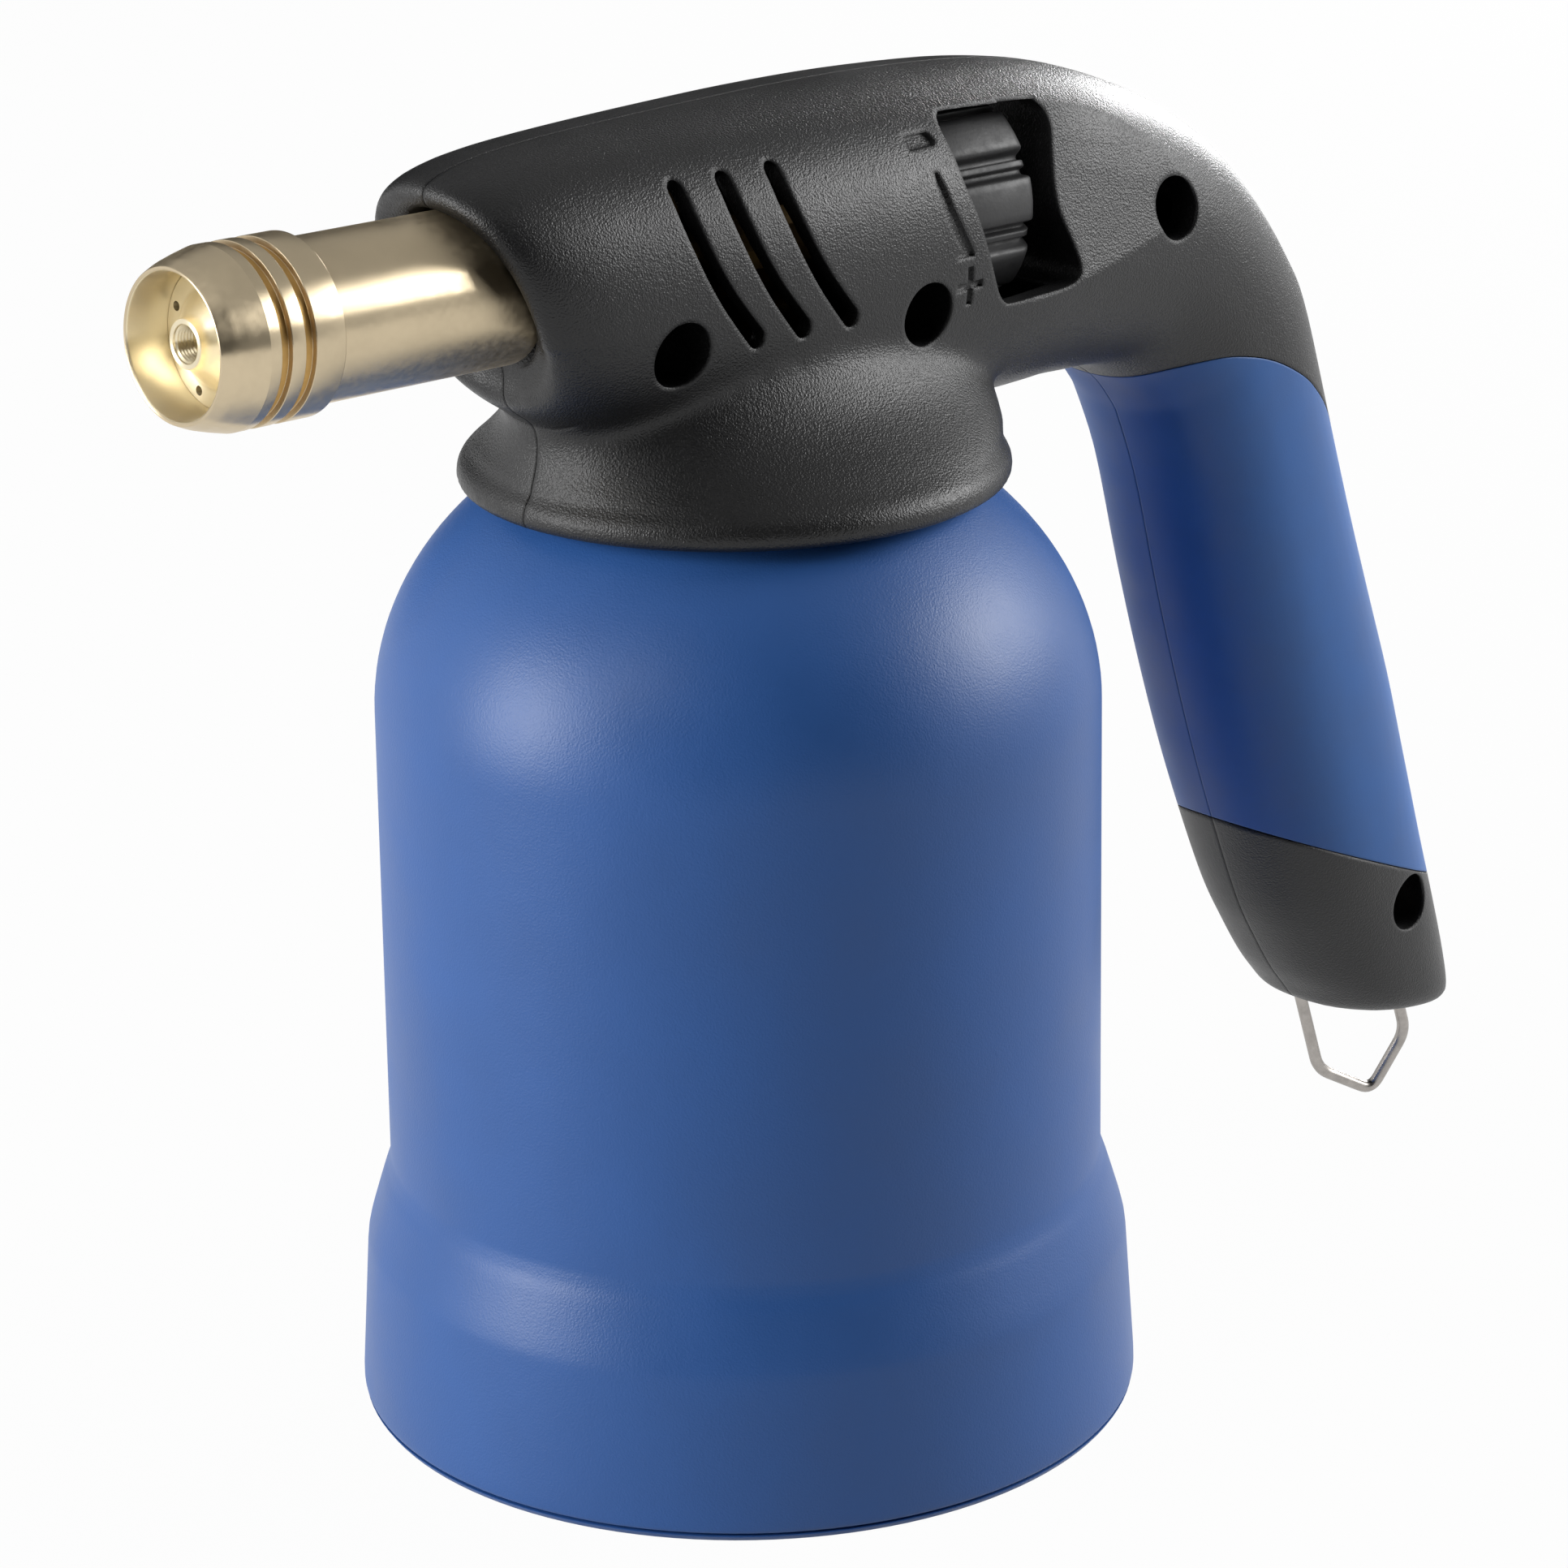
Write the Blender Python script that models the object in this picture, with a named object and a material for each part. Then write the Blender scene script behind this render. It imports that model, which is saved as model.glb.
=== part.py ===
"""Hand blowlamp that stands on its cartridge housing.

A blue bell holds a pierceable gas cartridge, pushed up on a hollow needle by a base cap that screws in.
A black two-part shell carries the brass burner, the regulator knob and a handle with soft grips.

The frame is +Z up, the burner points to -X and the handle is at +X. The shell parts at Y = 0, and the
origin is on the bell's axis, on the surface that the lamp stands on. Lengths are in metres.
"""

import math

import bmesh
import bpy
from mathutils import Matrix, Vector

# Driving dimensions
CARTRIDGE_RADIUS = 0.0450
CARTRIDGE_HEIGHT = 0.0950
CARTRIDGE_CLEARANCE = 0.0013
BELL_WALL = 0.0010
BODY_TAPER = 0.00025
SKIRT_STEP = 0.0034
SKIRT_FLARE = 0.0013
SKIRT_HEIGHT = 0.0220
SHOULDER_HEIGHT = 0.0105
DOME_DROP = 0.0200
CROWN_RADIUS = 0.0170
CROWN_RISE = 0.0163
BURNER_RISE = 0.0249
BURNER_TILT = math.radians(1.5)

# Fits and facets
GAP = 0.0003
RUN = 0.0004
PARTING_GAP = 0.0003
OVERRUN = 0.0010
LARGE_SEGMENTS = 48
MEDIUM_SEGMENTS = 28
SMALL_SEGMENTS = 20
TINY_SEGMENTS = 12
# Booleans are worked out this much larger, where small details keep clear of rounding
WORK_SCALE = 1000.0
WELD = 0.000004
FLAT_ANGLE = math.radians(0.6)
SMOOTH_ANGLE = math.radians(35.0)
HEX_SIDES = 6
QUARTER = math.radians(90.0)

# Bell
BELL_FOOT = 0.0011
SKIRT_WALL = 0.0011
SHOULDER_SHARES = ((0.24, 0.88), (0.52, 0.66), (0.76, 0.34), (0.90, 0.14), (1.0, 0.0))
DOME_STEPS = 8
DOME_INNER_STEPS = 5
STEM_RADIUS = 0.0079

# Base cap
CAP_LIP_STEP = 0.0001
CAP_LIP = 0.0008
CAP_WALL_HEIGHT = 0.0180
CAP_WALL = 0.0024
CAP_RIM = 0.0056
CAP_FLOOR = 0.0085
CAP_FLOOR_WALL = 0.0020
SEAT_RING_STEP = 0.0030
SEAT_RING_WALL = 0.0022
SEAT_HEIGHT = 0.0200
GRIP_BAR_WIDTH = 0.0110
CAP_FACET_LIP = 0.0010

# Cartridge
CAN_WALL = 0.0008
CAN_FOOT_STEP = 0.0035
CAN_CURL = 0.0040
CAN_DISH = 0.0050
CAN_SHOULDER_DROP = 0.0250
CAN_SHOULDER_STEPS = 4
CAN_BUTTON_RADIUS = 0.0110
CAN_BUTTON_HEIGHT = 0.0020
PIERCED_RADIUS = 0.0024

# Piercing socket, needle and gasket
NEEDLE_RADIUS = 0.0019
NEEDLE_BORE = 0.0007
NEEDLE_REACH = 0.0060
NEEDLE_GRIP = 0.0050
NEEDLE_TIP = 0.0020
GASKET_HEIGHT = 0.0030
GASKET_RADIUS = 0.0095
GASKET_BORE = 0.0030
SOCKET_RADIUS = 0.0110
SOCKET_FLANGE_STEP = 0.0030
SOCKET_FLANGE = 0.0042
SOCKET_BORE = 0.0012
STEM_LENGTH = 0.0133
LOCK_NUT_FLATS = 0.0240
LOCK_NUT_HEIGHT = 0.0048

# Valve body and what turns in it
VALVE_BOSS_RADIUS = 0.0105
VALVE_BLOCK_RADIUS = 0.0080
VALVE_BOSS_DROP = 0.0067
VALVE_FRONT = 0.0090
VALVE_BACK = 0.0090
VALVE_SOCKET_DEPTH = 0.0082
PACKING_BORE = 0.0053
PACKING_DEPTH = 0.0060
PACKING_SPIGOT = 0.0030
PACKING_NUT_FLATS = 0.0104
PACKING_NUT_LENGTH = 0.0115
RING_RADIUS = 0.0012
SEAL_POINTS = 8
SPINDLE_RADIUS = 0.0020
SPINDLE_SEAT = 0.0010
SPINDLE_CONE = 0.0022
SPINDLE_POINT = 0.0006

# Regulator knob
KNOB_RADIUS = 0.0155
KNOB_END_PLAY = 0.0009
KNOB_LENGTH = 0.0152
KNOB_LOBES = 10
KNOB_FLUTE_DEPTH = 0.0016
KNOB_FLUTE_SHARE = 0.20
KNOB_PHASE = math.radians(25.0)
KNOB_CHAMFER = 0.0009
KNOB_HUB_RADIUS = 0.0055
KNOB_HUB_REACH = 0.0028
KNOB_DISH_RADIUS = 0.0118
KNOB_DISH_DEPTH = 0.0030
KNOB_CLEARANCE = 0.0009

# Burner
TUBE_RADIUS = 0.0100
TUBE_WALL = 0.0012
TUBE_SET_BACK = 0.0050
TUBE_END_WALL = 0.0022
BURNER_STOP = 0.0090
TUBE_LENGTH = 0.0315
HEAD_STEP = 0.0011
HEAD_LENGTH = 0.0169
HEAD_CHAMFER = 0.0045
SWELL_DRAW = 0.0007
RIM_DRAW = 0.0018
RIM_WALL = 0.0004
CUP_WALL = 0.0026
CUP_DEPTH = 0.0079
SPIGOT_STEP = 0.0014
SPIGOT_LENGTH = 0.0065
THROAT_WALL = 0.0033
GROOVE_START = 0.0044
GROOVE_PITCH = 0.0035
GROOVE_COUNT = 2
GROOVE_WIDTH = 0.0015
GROOVE_DEPTH = 0.0008
FLAME_DISC = 0.0018
FLAME_RING = 0.0025
FLAME_NOZZLE_RADIUS = 0.0030
FLAME_BORE = 0.0023
FLAME_THROAT = 0.0012
FLAME_BORE_DEPTH = 0.0032
FLAME_NOZZLE_SET_BACK = 0.0019
FLAME_HOLES = 8
FLAME_HOLE_RADIUS = 0.0006
MIXING_RADIUS = 0.0045
MIXING_BORE = 0.0034
MIXING_PAST = 0.0030
AIR_HOLE_RADIUS = 0.0017
AIR_HOLE_PLACE = 0.0175
JET_RADIUS = 0.0030
JET_LENGTH = 0.0055
JET_POINT = 0.0014
JET_HOLE = 0.0005
GAS_BORE = 0.0010

# Black shell: the head, the bend and the handle
SHELL_POINTS = 24
CORE_POINTS = 20
CAVITY_POINTS = 16
SHELL_POWER = 2.3
BEND_STEPS = 2
NOSE_REACH = 0.0488
ARM_PAST = 0.0052
HEAD_WALL = 0.0056
HEAD_SIDE_WALL = 0.0041
HEAD_DROP = 0.0060
NOSE_LEAN = math.radians(22.7)
ARM_LEAN = math.radians(-7.5)
BEND_DROP = 0.0058
BEND_REACH = 0.0334
HANDLE_LEAN = math.radians(18.5)
HANDLE_START = 0.0331
HANDLE_LENGTH = 0.1010
HANDLE_DEPTH = 0.0168
HANDLE_WIDTH = 0.0158
HEEL_TURN = math.radians(27.0)

# Along from the bell's axis, drop below the burner, lean, half depth and half width
HEAD_STATION_SHARES = (
    (-0.895, 0.04, 1.00, 0.580, 0.580),
    (-0.917, 0.05, 1.00, 0.640, 0.635),
    (-0.913, 0.07, 1.00, 0.690, 0.685),
    (-0.880, 0.11, 0.98, 0.750, 0.745),
    (-0.808, 0.17, 0.88, 0.810, 0.805),
    (-0.690, 0.24, 0.62, 0.860, 0.865),
    (-0.480, 0.33, 0.25, 0.905, 0.930),
    (-0.180, 0.40, 0.00, 0.942, 0.980),
    (0.130, 0.49, 0.00, 0.970, 1.000),
    (0.467, 0.62, 0.00, 0.990, 0.995),
    (0.800, 0.84, 0.50, 1.000, 0.965),
)
# Along the bend, out from its curve, half depth and half width as shares of the head's
BEND_STATION_SHARES = (
    (0.00, 0.000, 0.975, 0.935),
    (0.22, 0.020, 0.900, 0.885),
    (0.42, 0.060, 0.805, 0.850),
    (0.61, 0.055, 0.750, 0.820),
    (0.80, 0.035, 0.735, 0.795),
)
# Along the handle, across from its axis, turn of the heel, half depth and half width
HANDLE_STATION_SHARES = (
    (0.000, 0.015, 0.00, 0.945, 0.990),
    (0.180, 0.000, 0.00, 0.970, 1.000),
    (0.330, 0.000, 0.00, 0.990, 1.010),
    (0.470, 0.000, 0.00, 1.000, 1.010),
    (0.600, 0.000, 0.00, 0.980, 0.990),
    (0.735, 0.000, 0.22, 0.955, 0.955),
    (0.830, 0.030, 0.50, 0.930, 0.925),
    (0.912, 0.070, 0.78, 0.910, 0.895),
    (0.965, 0.105, 1.00, 0.885, 0.860),
    (0.989, 0.120, 1.00, 0.830, 0.795),
    (1.000, 0.130, 1.00, 0.745, 0.690),
)
SHELL_WALL = 0.0025

# Neck and flange of the shell
FLANGE_RADIUS = 0.0355
FLANGE_DROP = 0.0062
FLANGE_LIP = 0.0044
NECK_STEP = 0.0005
NECK_SHIFT = 0.0022
NECK_HEIGHT = 0.0150
NECK_TOP_STEP = 0.0017
# Height up the lip, and how far inside the flange's radius
LIP_SHARES = ((0.0, 0.030), (0.14, 0.008), (0.42, 0.0), (0.75, 0.014), (1.0, 0.044))
# Height up the neck, its shift towards the handle, and its spread towards the lip's radius
NECK_SHARES = (
    (0.06, 0.35, 0.93), (0.17, 0.70, 0.79), (0.34, 0.95, 0.57), (0.54, 1.00, 0.34),
    (0.77, 1.00, 0.16), (1.00, 1.00, 0.04),
)
NECK_CAVITY_SHARES = ((0.00, 0.885), (0.28, 0.840), (0.52, 0.700), (0.72, 0.460))
WEB_HEIGHT = 0.0028

# Openings in the shell
NOSE_BORE_CLEARANCE = 0.0018
NOSE_BORE_DEPTH = 0.0048
CAVITY_PAST = 0.0011
VENT_COUNT = 3
VENT_PITCH = 0.0083
VENT_WIDTH = 0.0028
VENT_START = -0.0224
VENT_TOP = 0.0125
VENT_DROP = 0.0208
VENT_SWEEP = 0.0118
# Down the vent, and back along it
VENT_PATH_SHARES = ((0.0, 0.04), (0.14, -0.06), (0.36, -0.04), (0.58, 0.14), (0.81, 0.53), (1.0, 1.0))
WINDOW_AHEAD = 0.0021
WINDOW_PAST = 0.0051
WINDOW_FLOOR = -0.0125
WINDOW_HEIGHT = 0.0275
# Back along the window, and up from its floor
WINDOW_SHARES = (
    (0.00, 0.80), (0.02, 0.94), (0.12, 1.00), (0.84, 0.96), (0.90, 0.90), (0.80, 0.76),
    (0.72, 0.60), (0.76, 0.42), (0.92, 0.22), (1.00, 0.08), (0.92, 0.00), (0.43, 0.00),
    (0.32, 0.08), (0.20, 0.28), (0.07, 0.54),
)
FACET_LENGTH = 0.0280
FACET_DEPTH = 0.0030
FACET_PAST = 0.0170
FACET_HEIGHT = 0.0300

# Screws through the shell: three below the burner's axis and one in the handle's end
SCREW_AHEAD = 0.0247
SCREW_AHEAD_DROP = 0.0074
SCREW_BEHIND = 0.0153
SCREW_BEHIND_DROP = 0.0094
SCREW_PAST_ARM = 0.0180
SCREW_PAST_ARM_DROP = 0.0045
SCREW_END_RISE = 0.0194
SCREW_END_OFFSET = 0.0037
SCREW_AHEAD_WALL = 0.0040
SCREW_BEHIND_WALL = 0.0027
SCREW_RADIUS = 0.0014
SCREW_HEAD_RADIUS = 0.0029
SCREW_CROWN_RADIUS = 0.0023
SCREW_HEAD = 0.0019
SCREW_LENGTH = 0.0130
SCREW_RECESS = 0.00375
SCREW_SHELF = 0.0062
SCREW_SHELF_WALL = 0.0016
POST_WALL = 0.0015
THREAD_POST_RADIUS = 0.0026

# Soft grips
GRIP_WALL = 0.0020
GRIP_RISE = 0.0140
GRIP_AHEAD = 0.0336
GRIP_BEHIND = 0.0554
GRIP_DROP = 0.0420
# Back along the grip's upper edge, and down from its top
GRIP_EDGE_SHARES = (
    (0.00, 0.16), (0.085, 0.10), (0.14, 0.025), (0.21, 0.0), (0.27, 0.015), (0.33, 0.055),
    (0.40, 0.13), (0.445, 0.20), (0.50, 0.31), (0.56, 0.48), (0.62, 0.68), (0.70, 0.96), (0.80, 1.30),
)
GRIP_FOOT_AHEAD = 0.0656
GRIP_FOOT_AHEAD_RISE = 0.0513
GRIP_FOOT_BEHIND = 0.0234
GRIP_FOOT_BEHIND_RISE = 0.0138

# Hanging hook
WIRE_RADIUS = 0.0009
HOOK_WIDTH = 0.0147
HOOK_YAW = math.radians(-24.0)
HOOK_DROP = 0.0106
HOOK_OFFSET = 0.0008
HOOK_POINT = 0.0078
HOOK_FOOT = 0.0028
HOOK_BEND = 0.0022
HOOK_BEND_STEPS = 4
HOOK_BORE_CLEARANCE = 0.00045
HOOK_BORE_DEPTH = 0.0225
HOOK_GROOVE_PLACE = 0.0190
HOOK_GROOVE_DEPTH = 0.0020

# Colour, roughness and metallic value of each finish
FINISHES = {
    "blue_paint": ((0.045, 0.130, 0.400), 0.45, 0.0),
    "blue_soft_grip": ((0.030, 0.110, 0.380), 0.60, 0.0),
    "black_plastic": ((0.018, 0.018, 0.020), 0.50, 0.0),
    "blue_plastic": ((0.040, 0.120, 0.360), 0.50, 0.0),
    "brass": ((0.780, 0.660, 0.420), 0.28, 1.0),
    "steel": ((0.620, 0.610, 0.600), 0.28, 1.0),
    "rubber": ((0.020, 0.020, 0.020), 0.80, 0.0),
    "can_paint": ((0.640, 0.650, 0.660), 0.35, 0.6),
}

# Places that follow from the sizes above
BODY_RADIUS = CARTRIDGE_RADIUS + CARTRIDGE_CLEARANCE + BELL_WALL
BODY_TOP_RADIUS = BODY_RADIUS - BODY_TAPER
SKIRT_TOP_RADIUS = BODY_RADIUS + SKIRT_STEP
SKIRT_BORE = SKIRT_TOP_RADIUS - SKIRT_WALL
BASE_RADIUS = SKIRT_TOP_RADIUS + SKIRT_FLARE
BODY_START = SKIRT_HEIGHT + SHOULDER_HEIGHT
CAP_LIP_RADIUS = BASE_RADIUS - CAP_LIP_STEP
CAP_RIM_INNER = SKIRT_BORE - CAP_RIM
CAN_FOOT_RADIUS = CARTRIDGE_RADIUS - CAN_FOOT_STEP
SEAT_RING_RADIUS = CAN_FOOT_RADIUS - SEAT_RING_STEP
CAN_BOTTOM = SEAT_HEIGHT + GAP
CAN_TOP = CAN_BOTTOM + CARTRIDGE_HEIGHT
CAN_SHOULDER = CARTRIDGE_HEIGHT - CAN_SHOULDER_DROP
DOME_START = CAN_TOP - DOME_DROP
CROWN_TOP = CAN_TOP + CROWN_RISE
CROWN_BOTTOM = CROWN_TOP - BELL_WALL
DOME_RISE = (CROWN_TOP - DOME_START) / math.sqrt(1 - (CROWN_RADIUS / BODY_TOP_RADIUS) ** 2)
BURNER_HEIGHT = CROWN_TOP + BURNER_RISE
BURNER_POINT = Vector((0.0, 0.0, BURNER_HEIGHT))
BURNER_AXIS = Vector((math.cos(BURNER_TILT), 0.0, -math.sin(BURNER_TILT)))
STEM_HOLE = STEM_RADIUS + GAP
SOCKET_FLANGE_RADIUS = CROWN_RADIUS - SOCKET_FLANGE_STEP
VALVE_BOSS_TOP = BURNER_HEIGHT - VALVE_BOSS_DROP
KNOB_START = VALVE_BACK + GAP + PACKING_NUT_LENGTH + KNOB_END_PLAY + KNOB_HUB_REACH
CAVITY_BACK = KNOB_START + KNOB_LENGTH + CAVITY_PAST
HEAD_CAVITY_RADIUS = KNOB_RADIUS + KNOB_CLEARANCE
HEAD_DEPTH = HEAD_CAVITY_RADIUS + HEAD_WALL
HEAD_WIDTH = HEAD_CAVITY_RADIUS + HEAD_SIDE_WALL
WINDOW_START = KNOB_START - WINDOW_AHEAD
WINDOW_LENGTH = KNOB_LENGTH + WINDOW_AHEAD + WINDOW_PAST
ARM_REACH = CAVITY_BACK + ARM_PAST
FACET_APEX = ARM_REACH + FACET_PAST
FACET_FRONT = FACET_APEX - FACET_LENGTH
NOSE_BORE = TUBE_RADIUS + NOSE_BORE_CLEARANCE
NOSE_BORE_END = NOSE_REACH - NOSE_BORE_DEPTH
TUBE_START = NOSE_BORE_END - TUBE_SET_BACK
BURNER_STOP_END = TUBE_START - BURNER_STOP
HEAD_START = TUBE_START + TUBE_LENGTH
HEAD_REACH = HEAD_START + HEAD_LENGTH
HEAD_CHAMFER_START = HEAD_REACH - HEAD_CHAMFER
HEAD_RADIUS = TUBE_RADIUS + HEAD_STEP
SWELL_RADIUS = HEAD_RADIUS - SWELL_DRAW
RIM_RADIUS = HEAD_RADIUS - RIM_DRAW
CUP_BORE = HEAD_RADIUS - CUP_WALL
CUP_FLOOR = HEAD_REACH - CUP_DEPTH
SPIGOT_RADIUS = TUBE_RADIUS - SPIGOT_STEP
HEAD_THROAT = HEAD_RADIUS - THROAT_WALL
FLAME_CONE_FOOT = CUP_BORE - FLAME_RING
FLANGE_UNDERSIDE = CROWN_TOP - FLANGE_DROP
NECK_RADIUS = FLANGE_RADIUS - NECK_STEP
NECK_TOP_WIDTH = HEAD_WIDTH - NECK_TOP_STEP
GASKET_BOTTOM = CAN_TOP + GAP
SOCKET_BOTTOM = GASKET_BOTTOM + GASKET_HEIGHT + GAP
SOCKET_TOP = CROWN_BOTTOM - GAP
STEM_TOP = CROWN_TOP + STEM_LENGTH
NUT_BOTTOM = CROWN_TOP + GAP
NUT_TOP = NUT_BOTTOM + LOCK_NUT_HEIGHT
VALVE_BOTTOM = NUT_TOP + GAP
WEB_BOTTOM = VALVE_BOTTOM + GAP
HANDLE_AXIS = Vector((math.sin(HANDLE_LEAN), 0.0, -math.cos(HANDLE_LEAN)))
HANDLE_BACK = Vector((math.cos(HANDLE_LEAN), 0.0, math.sin(HANDLE_LEAN)))
BEND_START = BURNER_POINT + Vector((ARM_REACH, 0.0, -BEND_DROP))
KNEE = BEND_START + BEND_REACH * Vector((math.cos(ARM_LEAN), 0.0, math.sin(ARM_LEAN)))
HANDLE_TOP = KNEE + HANDLE_START * HANDLE_AXIS
PACKING_START = VALVE_BACK - PACKING_DEPTH
PACKING_END = VALVE_BACK + GAP + PACKING_NUT_LENGTH
HOOK_SIDE = Vector((
    math.cos(HOOK_YAW) * HANDLE_BACK.x,
    math.sin(HOOK_YAW),
    math.cos(HOOK_YAW) * HANDLE_BACK.z,
))
HOOK_CORNER = HANDLE_LENGTH + HOOK_DROP
HOOK_CENTRE = HANDLE_TOP + HOOK_CORNER * HANDLE_AXIS + HOOK_OFFSET * HANDLE_BACK
HOOK_BORE = HOOK_WIDTH / 2 + WIRE_RADIUS + HOOK_BORE_CLEARANCE
HANDLE_END = HANDLE_TOP + HANDLE_LENGTH * HANDLE_AXIS
SCREW_END = HANDLE_END - SCREW_END_RISE * HANDLE_AXIS + SCREW_END_OFFSET * HANDLE_BACK
SCREW_PLACES = (
    (-SCREW_AHEAD, BURNER_HEIGHT - SCREW_AHEAD_DROP),
    (SCREW_BEHIND, BURNER_HEIGHT - SCREW_BEHIND_DROP),
    (ARM_REACH + SCREW_PAST_ARM, BURNER_HEIGHT - SCREW_PAST_ARM_DROP),
    (SCREW_END.x, SCREW_END.z),
)
SCREW_WALL_REACH = (HEAD_WIDTH - SCREW_AHEAD_WALL, HEAD_WIDTH - SCREW_BEHIND_WALL)
GRIP_FRONT = HANDLE_TOP.x - GRIP_AHEAD
GRIP_BACK = HANDLE_TOP.x + GRIP_BEHIND
GRIP_TOP = HANDLE_TOP.z + GRIP_RISE


def clear_scene():
    """Remove what the scene holds when the script starts."""
    for thing in list(bpy.data.objects):
        bpy.data.objects.remove(thing, do_unlink=True)


def make_material(name):
    """A Principled material with one of the finishes."""
    colour, roughness, metallic = FINISHES[name]
    made = bpy.data.materials.new(name)
    made.use_nodes = True
    shader = made.node_tree.nodes["Principled BSDF"]
    shader.inputs["Base Color"].default_value = (*colour, 1.0)
    shader.inputs["Roughness"].default_value = roughness
    shader.inputs["Metallic"].default_value = metallic
    made.diffuse_color = (*colour, 1.0)
    return made


def new_object(name, mesh, material=None, place=None):
    """Link a mesh to the scene, its origin at a place on its joint's axis where it has one."""
    made = bpy.data.objects.new(name, mesh)
    bpy.context.scene.collection.objects.link(made)
    if material:
        mesh.materials.clear()
        mesh.materials.append(material)
        mesh.shade_smooth()
        mesh.set_sharp_from_angle(angle=SMOOTH_ANGLE)
    if place:
        mesh.transform(Matrix.Translation(-place))
        made.location = place
    return made


def stored(bm):
    """Move a bmesh into a mesh of its own."""
    mesh = bpy.data.meshes.new("shape")
    bm.to_mesh(mesh)
    bm.free()
    return mesh


def mesh_from(bm):
    """Point a closed bmesh's faces out and store it."""
    bmesh.ops.recalc_face_normals(bm, faces=bm.faces)
    return stored(bm)


def combined(base, other, operation):
    """Join, cut or intersect two meshes with an exact Boolean, and give back a new mesh."""
    things = []
    for mesh in (base, other):
        mesh.transform(Matrix.Scale(WORK_SCALE, 4))
        things.append(new_object("working_shape", mesh))
    target, cutter = things
    cutter.hide_render = True
    cutter.display_type = "WIRE"
    step = target.modifiers.new("step", "BOOLEAN")
    step.operation = operation
    step.solver = "EXACT"
    step.object = cutter
    bpy.context.view_layer.update()
    evaluated = target.evaluated_get(bpy.context.evaluated_depsgraph_get())
    bm = bmesh.new()
    bm.from_mesh(evaluated.to_mesh())
    for thing in things:
        bpy.data.objects.remove(thing, do_unlink=True)
    bmesh.ops.scale(bm, vec=(1 / WORK_SCALE,) * 3, verts=bm.verts)
    bmesh.ops.remove_doubles(bm, verts=bm.verts, dist=WELD)
    bmesh.ops.dissolve_degenerate(bm, edges=bm.edges, dist=WELD)
    bmesh.ops.triangulate(bm, faces=bm.faces)
    return stored(bm)


def thinned(mesh):
    """Drop the points and edges that lie within flat faces."""
    bm = bmesh.new()
    bm.from_mesh(mesh)
    bmesh.ops.dissolve_limit(bm, angle_limit=FLAT_ANGLE, verts=bm.verts, edges=bm.edges)
    bmesh.ops.triangulate(bm, faces=bm.faces)
    return stored(bm)


def cut(base, *cutters):
    for cutter in cutters:
        base = combined(base, cutter, "DIFFERENCE")
    return base


def joined(base, *others):
    for other in others:
        base = combined(base, other, "UNION")
    return base


def common(base, other):
    return combined(base, other, "INTERSECT")


def turned(profile, segments, direction="Z", place=(0.0, 0.0, 0.0)):
    """Turn (radius, along) points, listed round a closed section, about an axis through a place.

    The X direction is the burner's, which rises a little towards the nozzle.
    """
    bm = bmesh.new()
    points = [bm.verts.new((radius, 0.0, along)) for radius, along in profile]
    edges = [bm.edges.new(pair) for pair in zip(points, points[1:])]
    if profile[0][0] > 0 or profile[-1][0] > 0:
        edges.append(bm.edges.new((points[-1], points[0])))
    bmesh.ops.spin(
        bm, geom=points + edges, cent=(0.0, 0.0, 0.0), axis=(0.0, 0.0, 1.0),
        angle=math.tau, steps=segments, use_duplicate=False,
    )
    bmesh.ops.remove_doubles(bm, verts=bm.verts, dist=GAP / segments)
    turn = {
        "Z": Matrix.Identity(4),
        "X": Matrix.Rotation(QUARTER + BURNER_TILT, 4, "Y"),
        "Y": Matrix.Rotation(-QUARTER, 4, "X"),
    }[direction]
    bmesh.ops.transform(bm, matrix=Matrix.Translation(place) @ turn, verts=bm.verts)
    return mesh_from(bm)


def rod(radius, start, end, segments, direction="Z", place=(0.0, 0.0, 0.0)):
    """A plain cylinder along an axis, from start to end as measured from the place."""
    return turned([(0.0, start), (radius, start), (radius, end), (0.0, end)], segments, direction, place)


def hexagon(flats, start, end, bore, direction="Z", place=(0.0, 0.0, 0.0)):
    """A nut blank with its bore."""
    corner = flats / 2 / math.cos(math.pi / HEX_SIDES)
    blank = rod(corner, start, end, HEX_SIDES, direction, place)
    return cut(blank, rod(bore, start - OVERRUN, end + OVERRUN, SMALL_SEGMENTS, direction, place))


def prism(outline, low, high):
    """Extrude a closed (x, z) outline along Y."""
    bm = bmesh.new()
    loop = [bm.verts.new((x, low, z)) for x, z in outline]
    face = bm.faces.new(loop)
    grown = bmesh.ops.extrude_face_region(bm, geom=[face])["geom"]
    moved = [item for item in grown if isinstance(item, bmesh.types.BMVert)]
    bmesh.ops.translate(bm, verts=moved, vec=(0.0, high - low, 0.0))
    return mesh_from(bm)


def box(low, high):
    """A box between two corners."""
    bm = bmesh.new()
    bmesh.ops.create_cube(bm, size=1.0)
    middle = (Vector(low) + Vector(high)) / 2
    size = Vector(high) - Vector(low)
    bmesh.ops.transform(bm, matrix=Matrix.Translation(middle) @ Matrix.Diagonal((*size, 1.0)), verts=bm.verts)
    return mesh_from(bm)


def oval(count, power):
    """Unit superellipse points, from the top round to the side."""
    points = []
    for index in range(count):
        angle = math.tau * index / count
        up = math.copysign(abs(math.cos(angle)) ** (2 / power), math.cos(angle))
        side = math.copysign(abs(math.sin(angle)) ** (2 / power), math.sin(angle))
        points.append((up, side))
    return points


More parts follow.
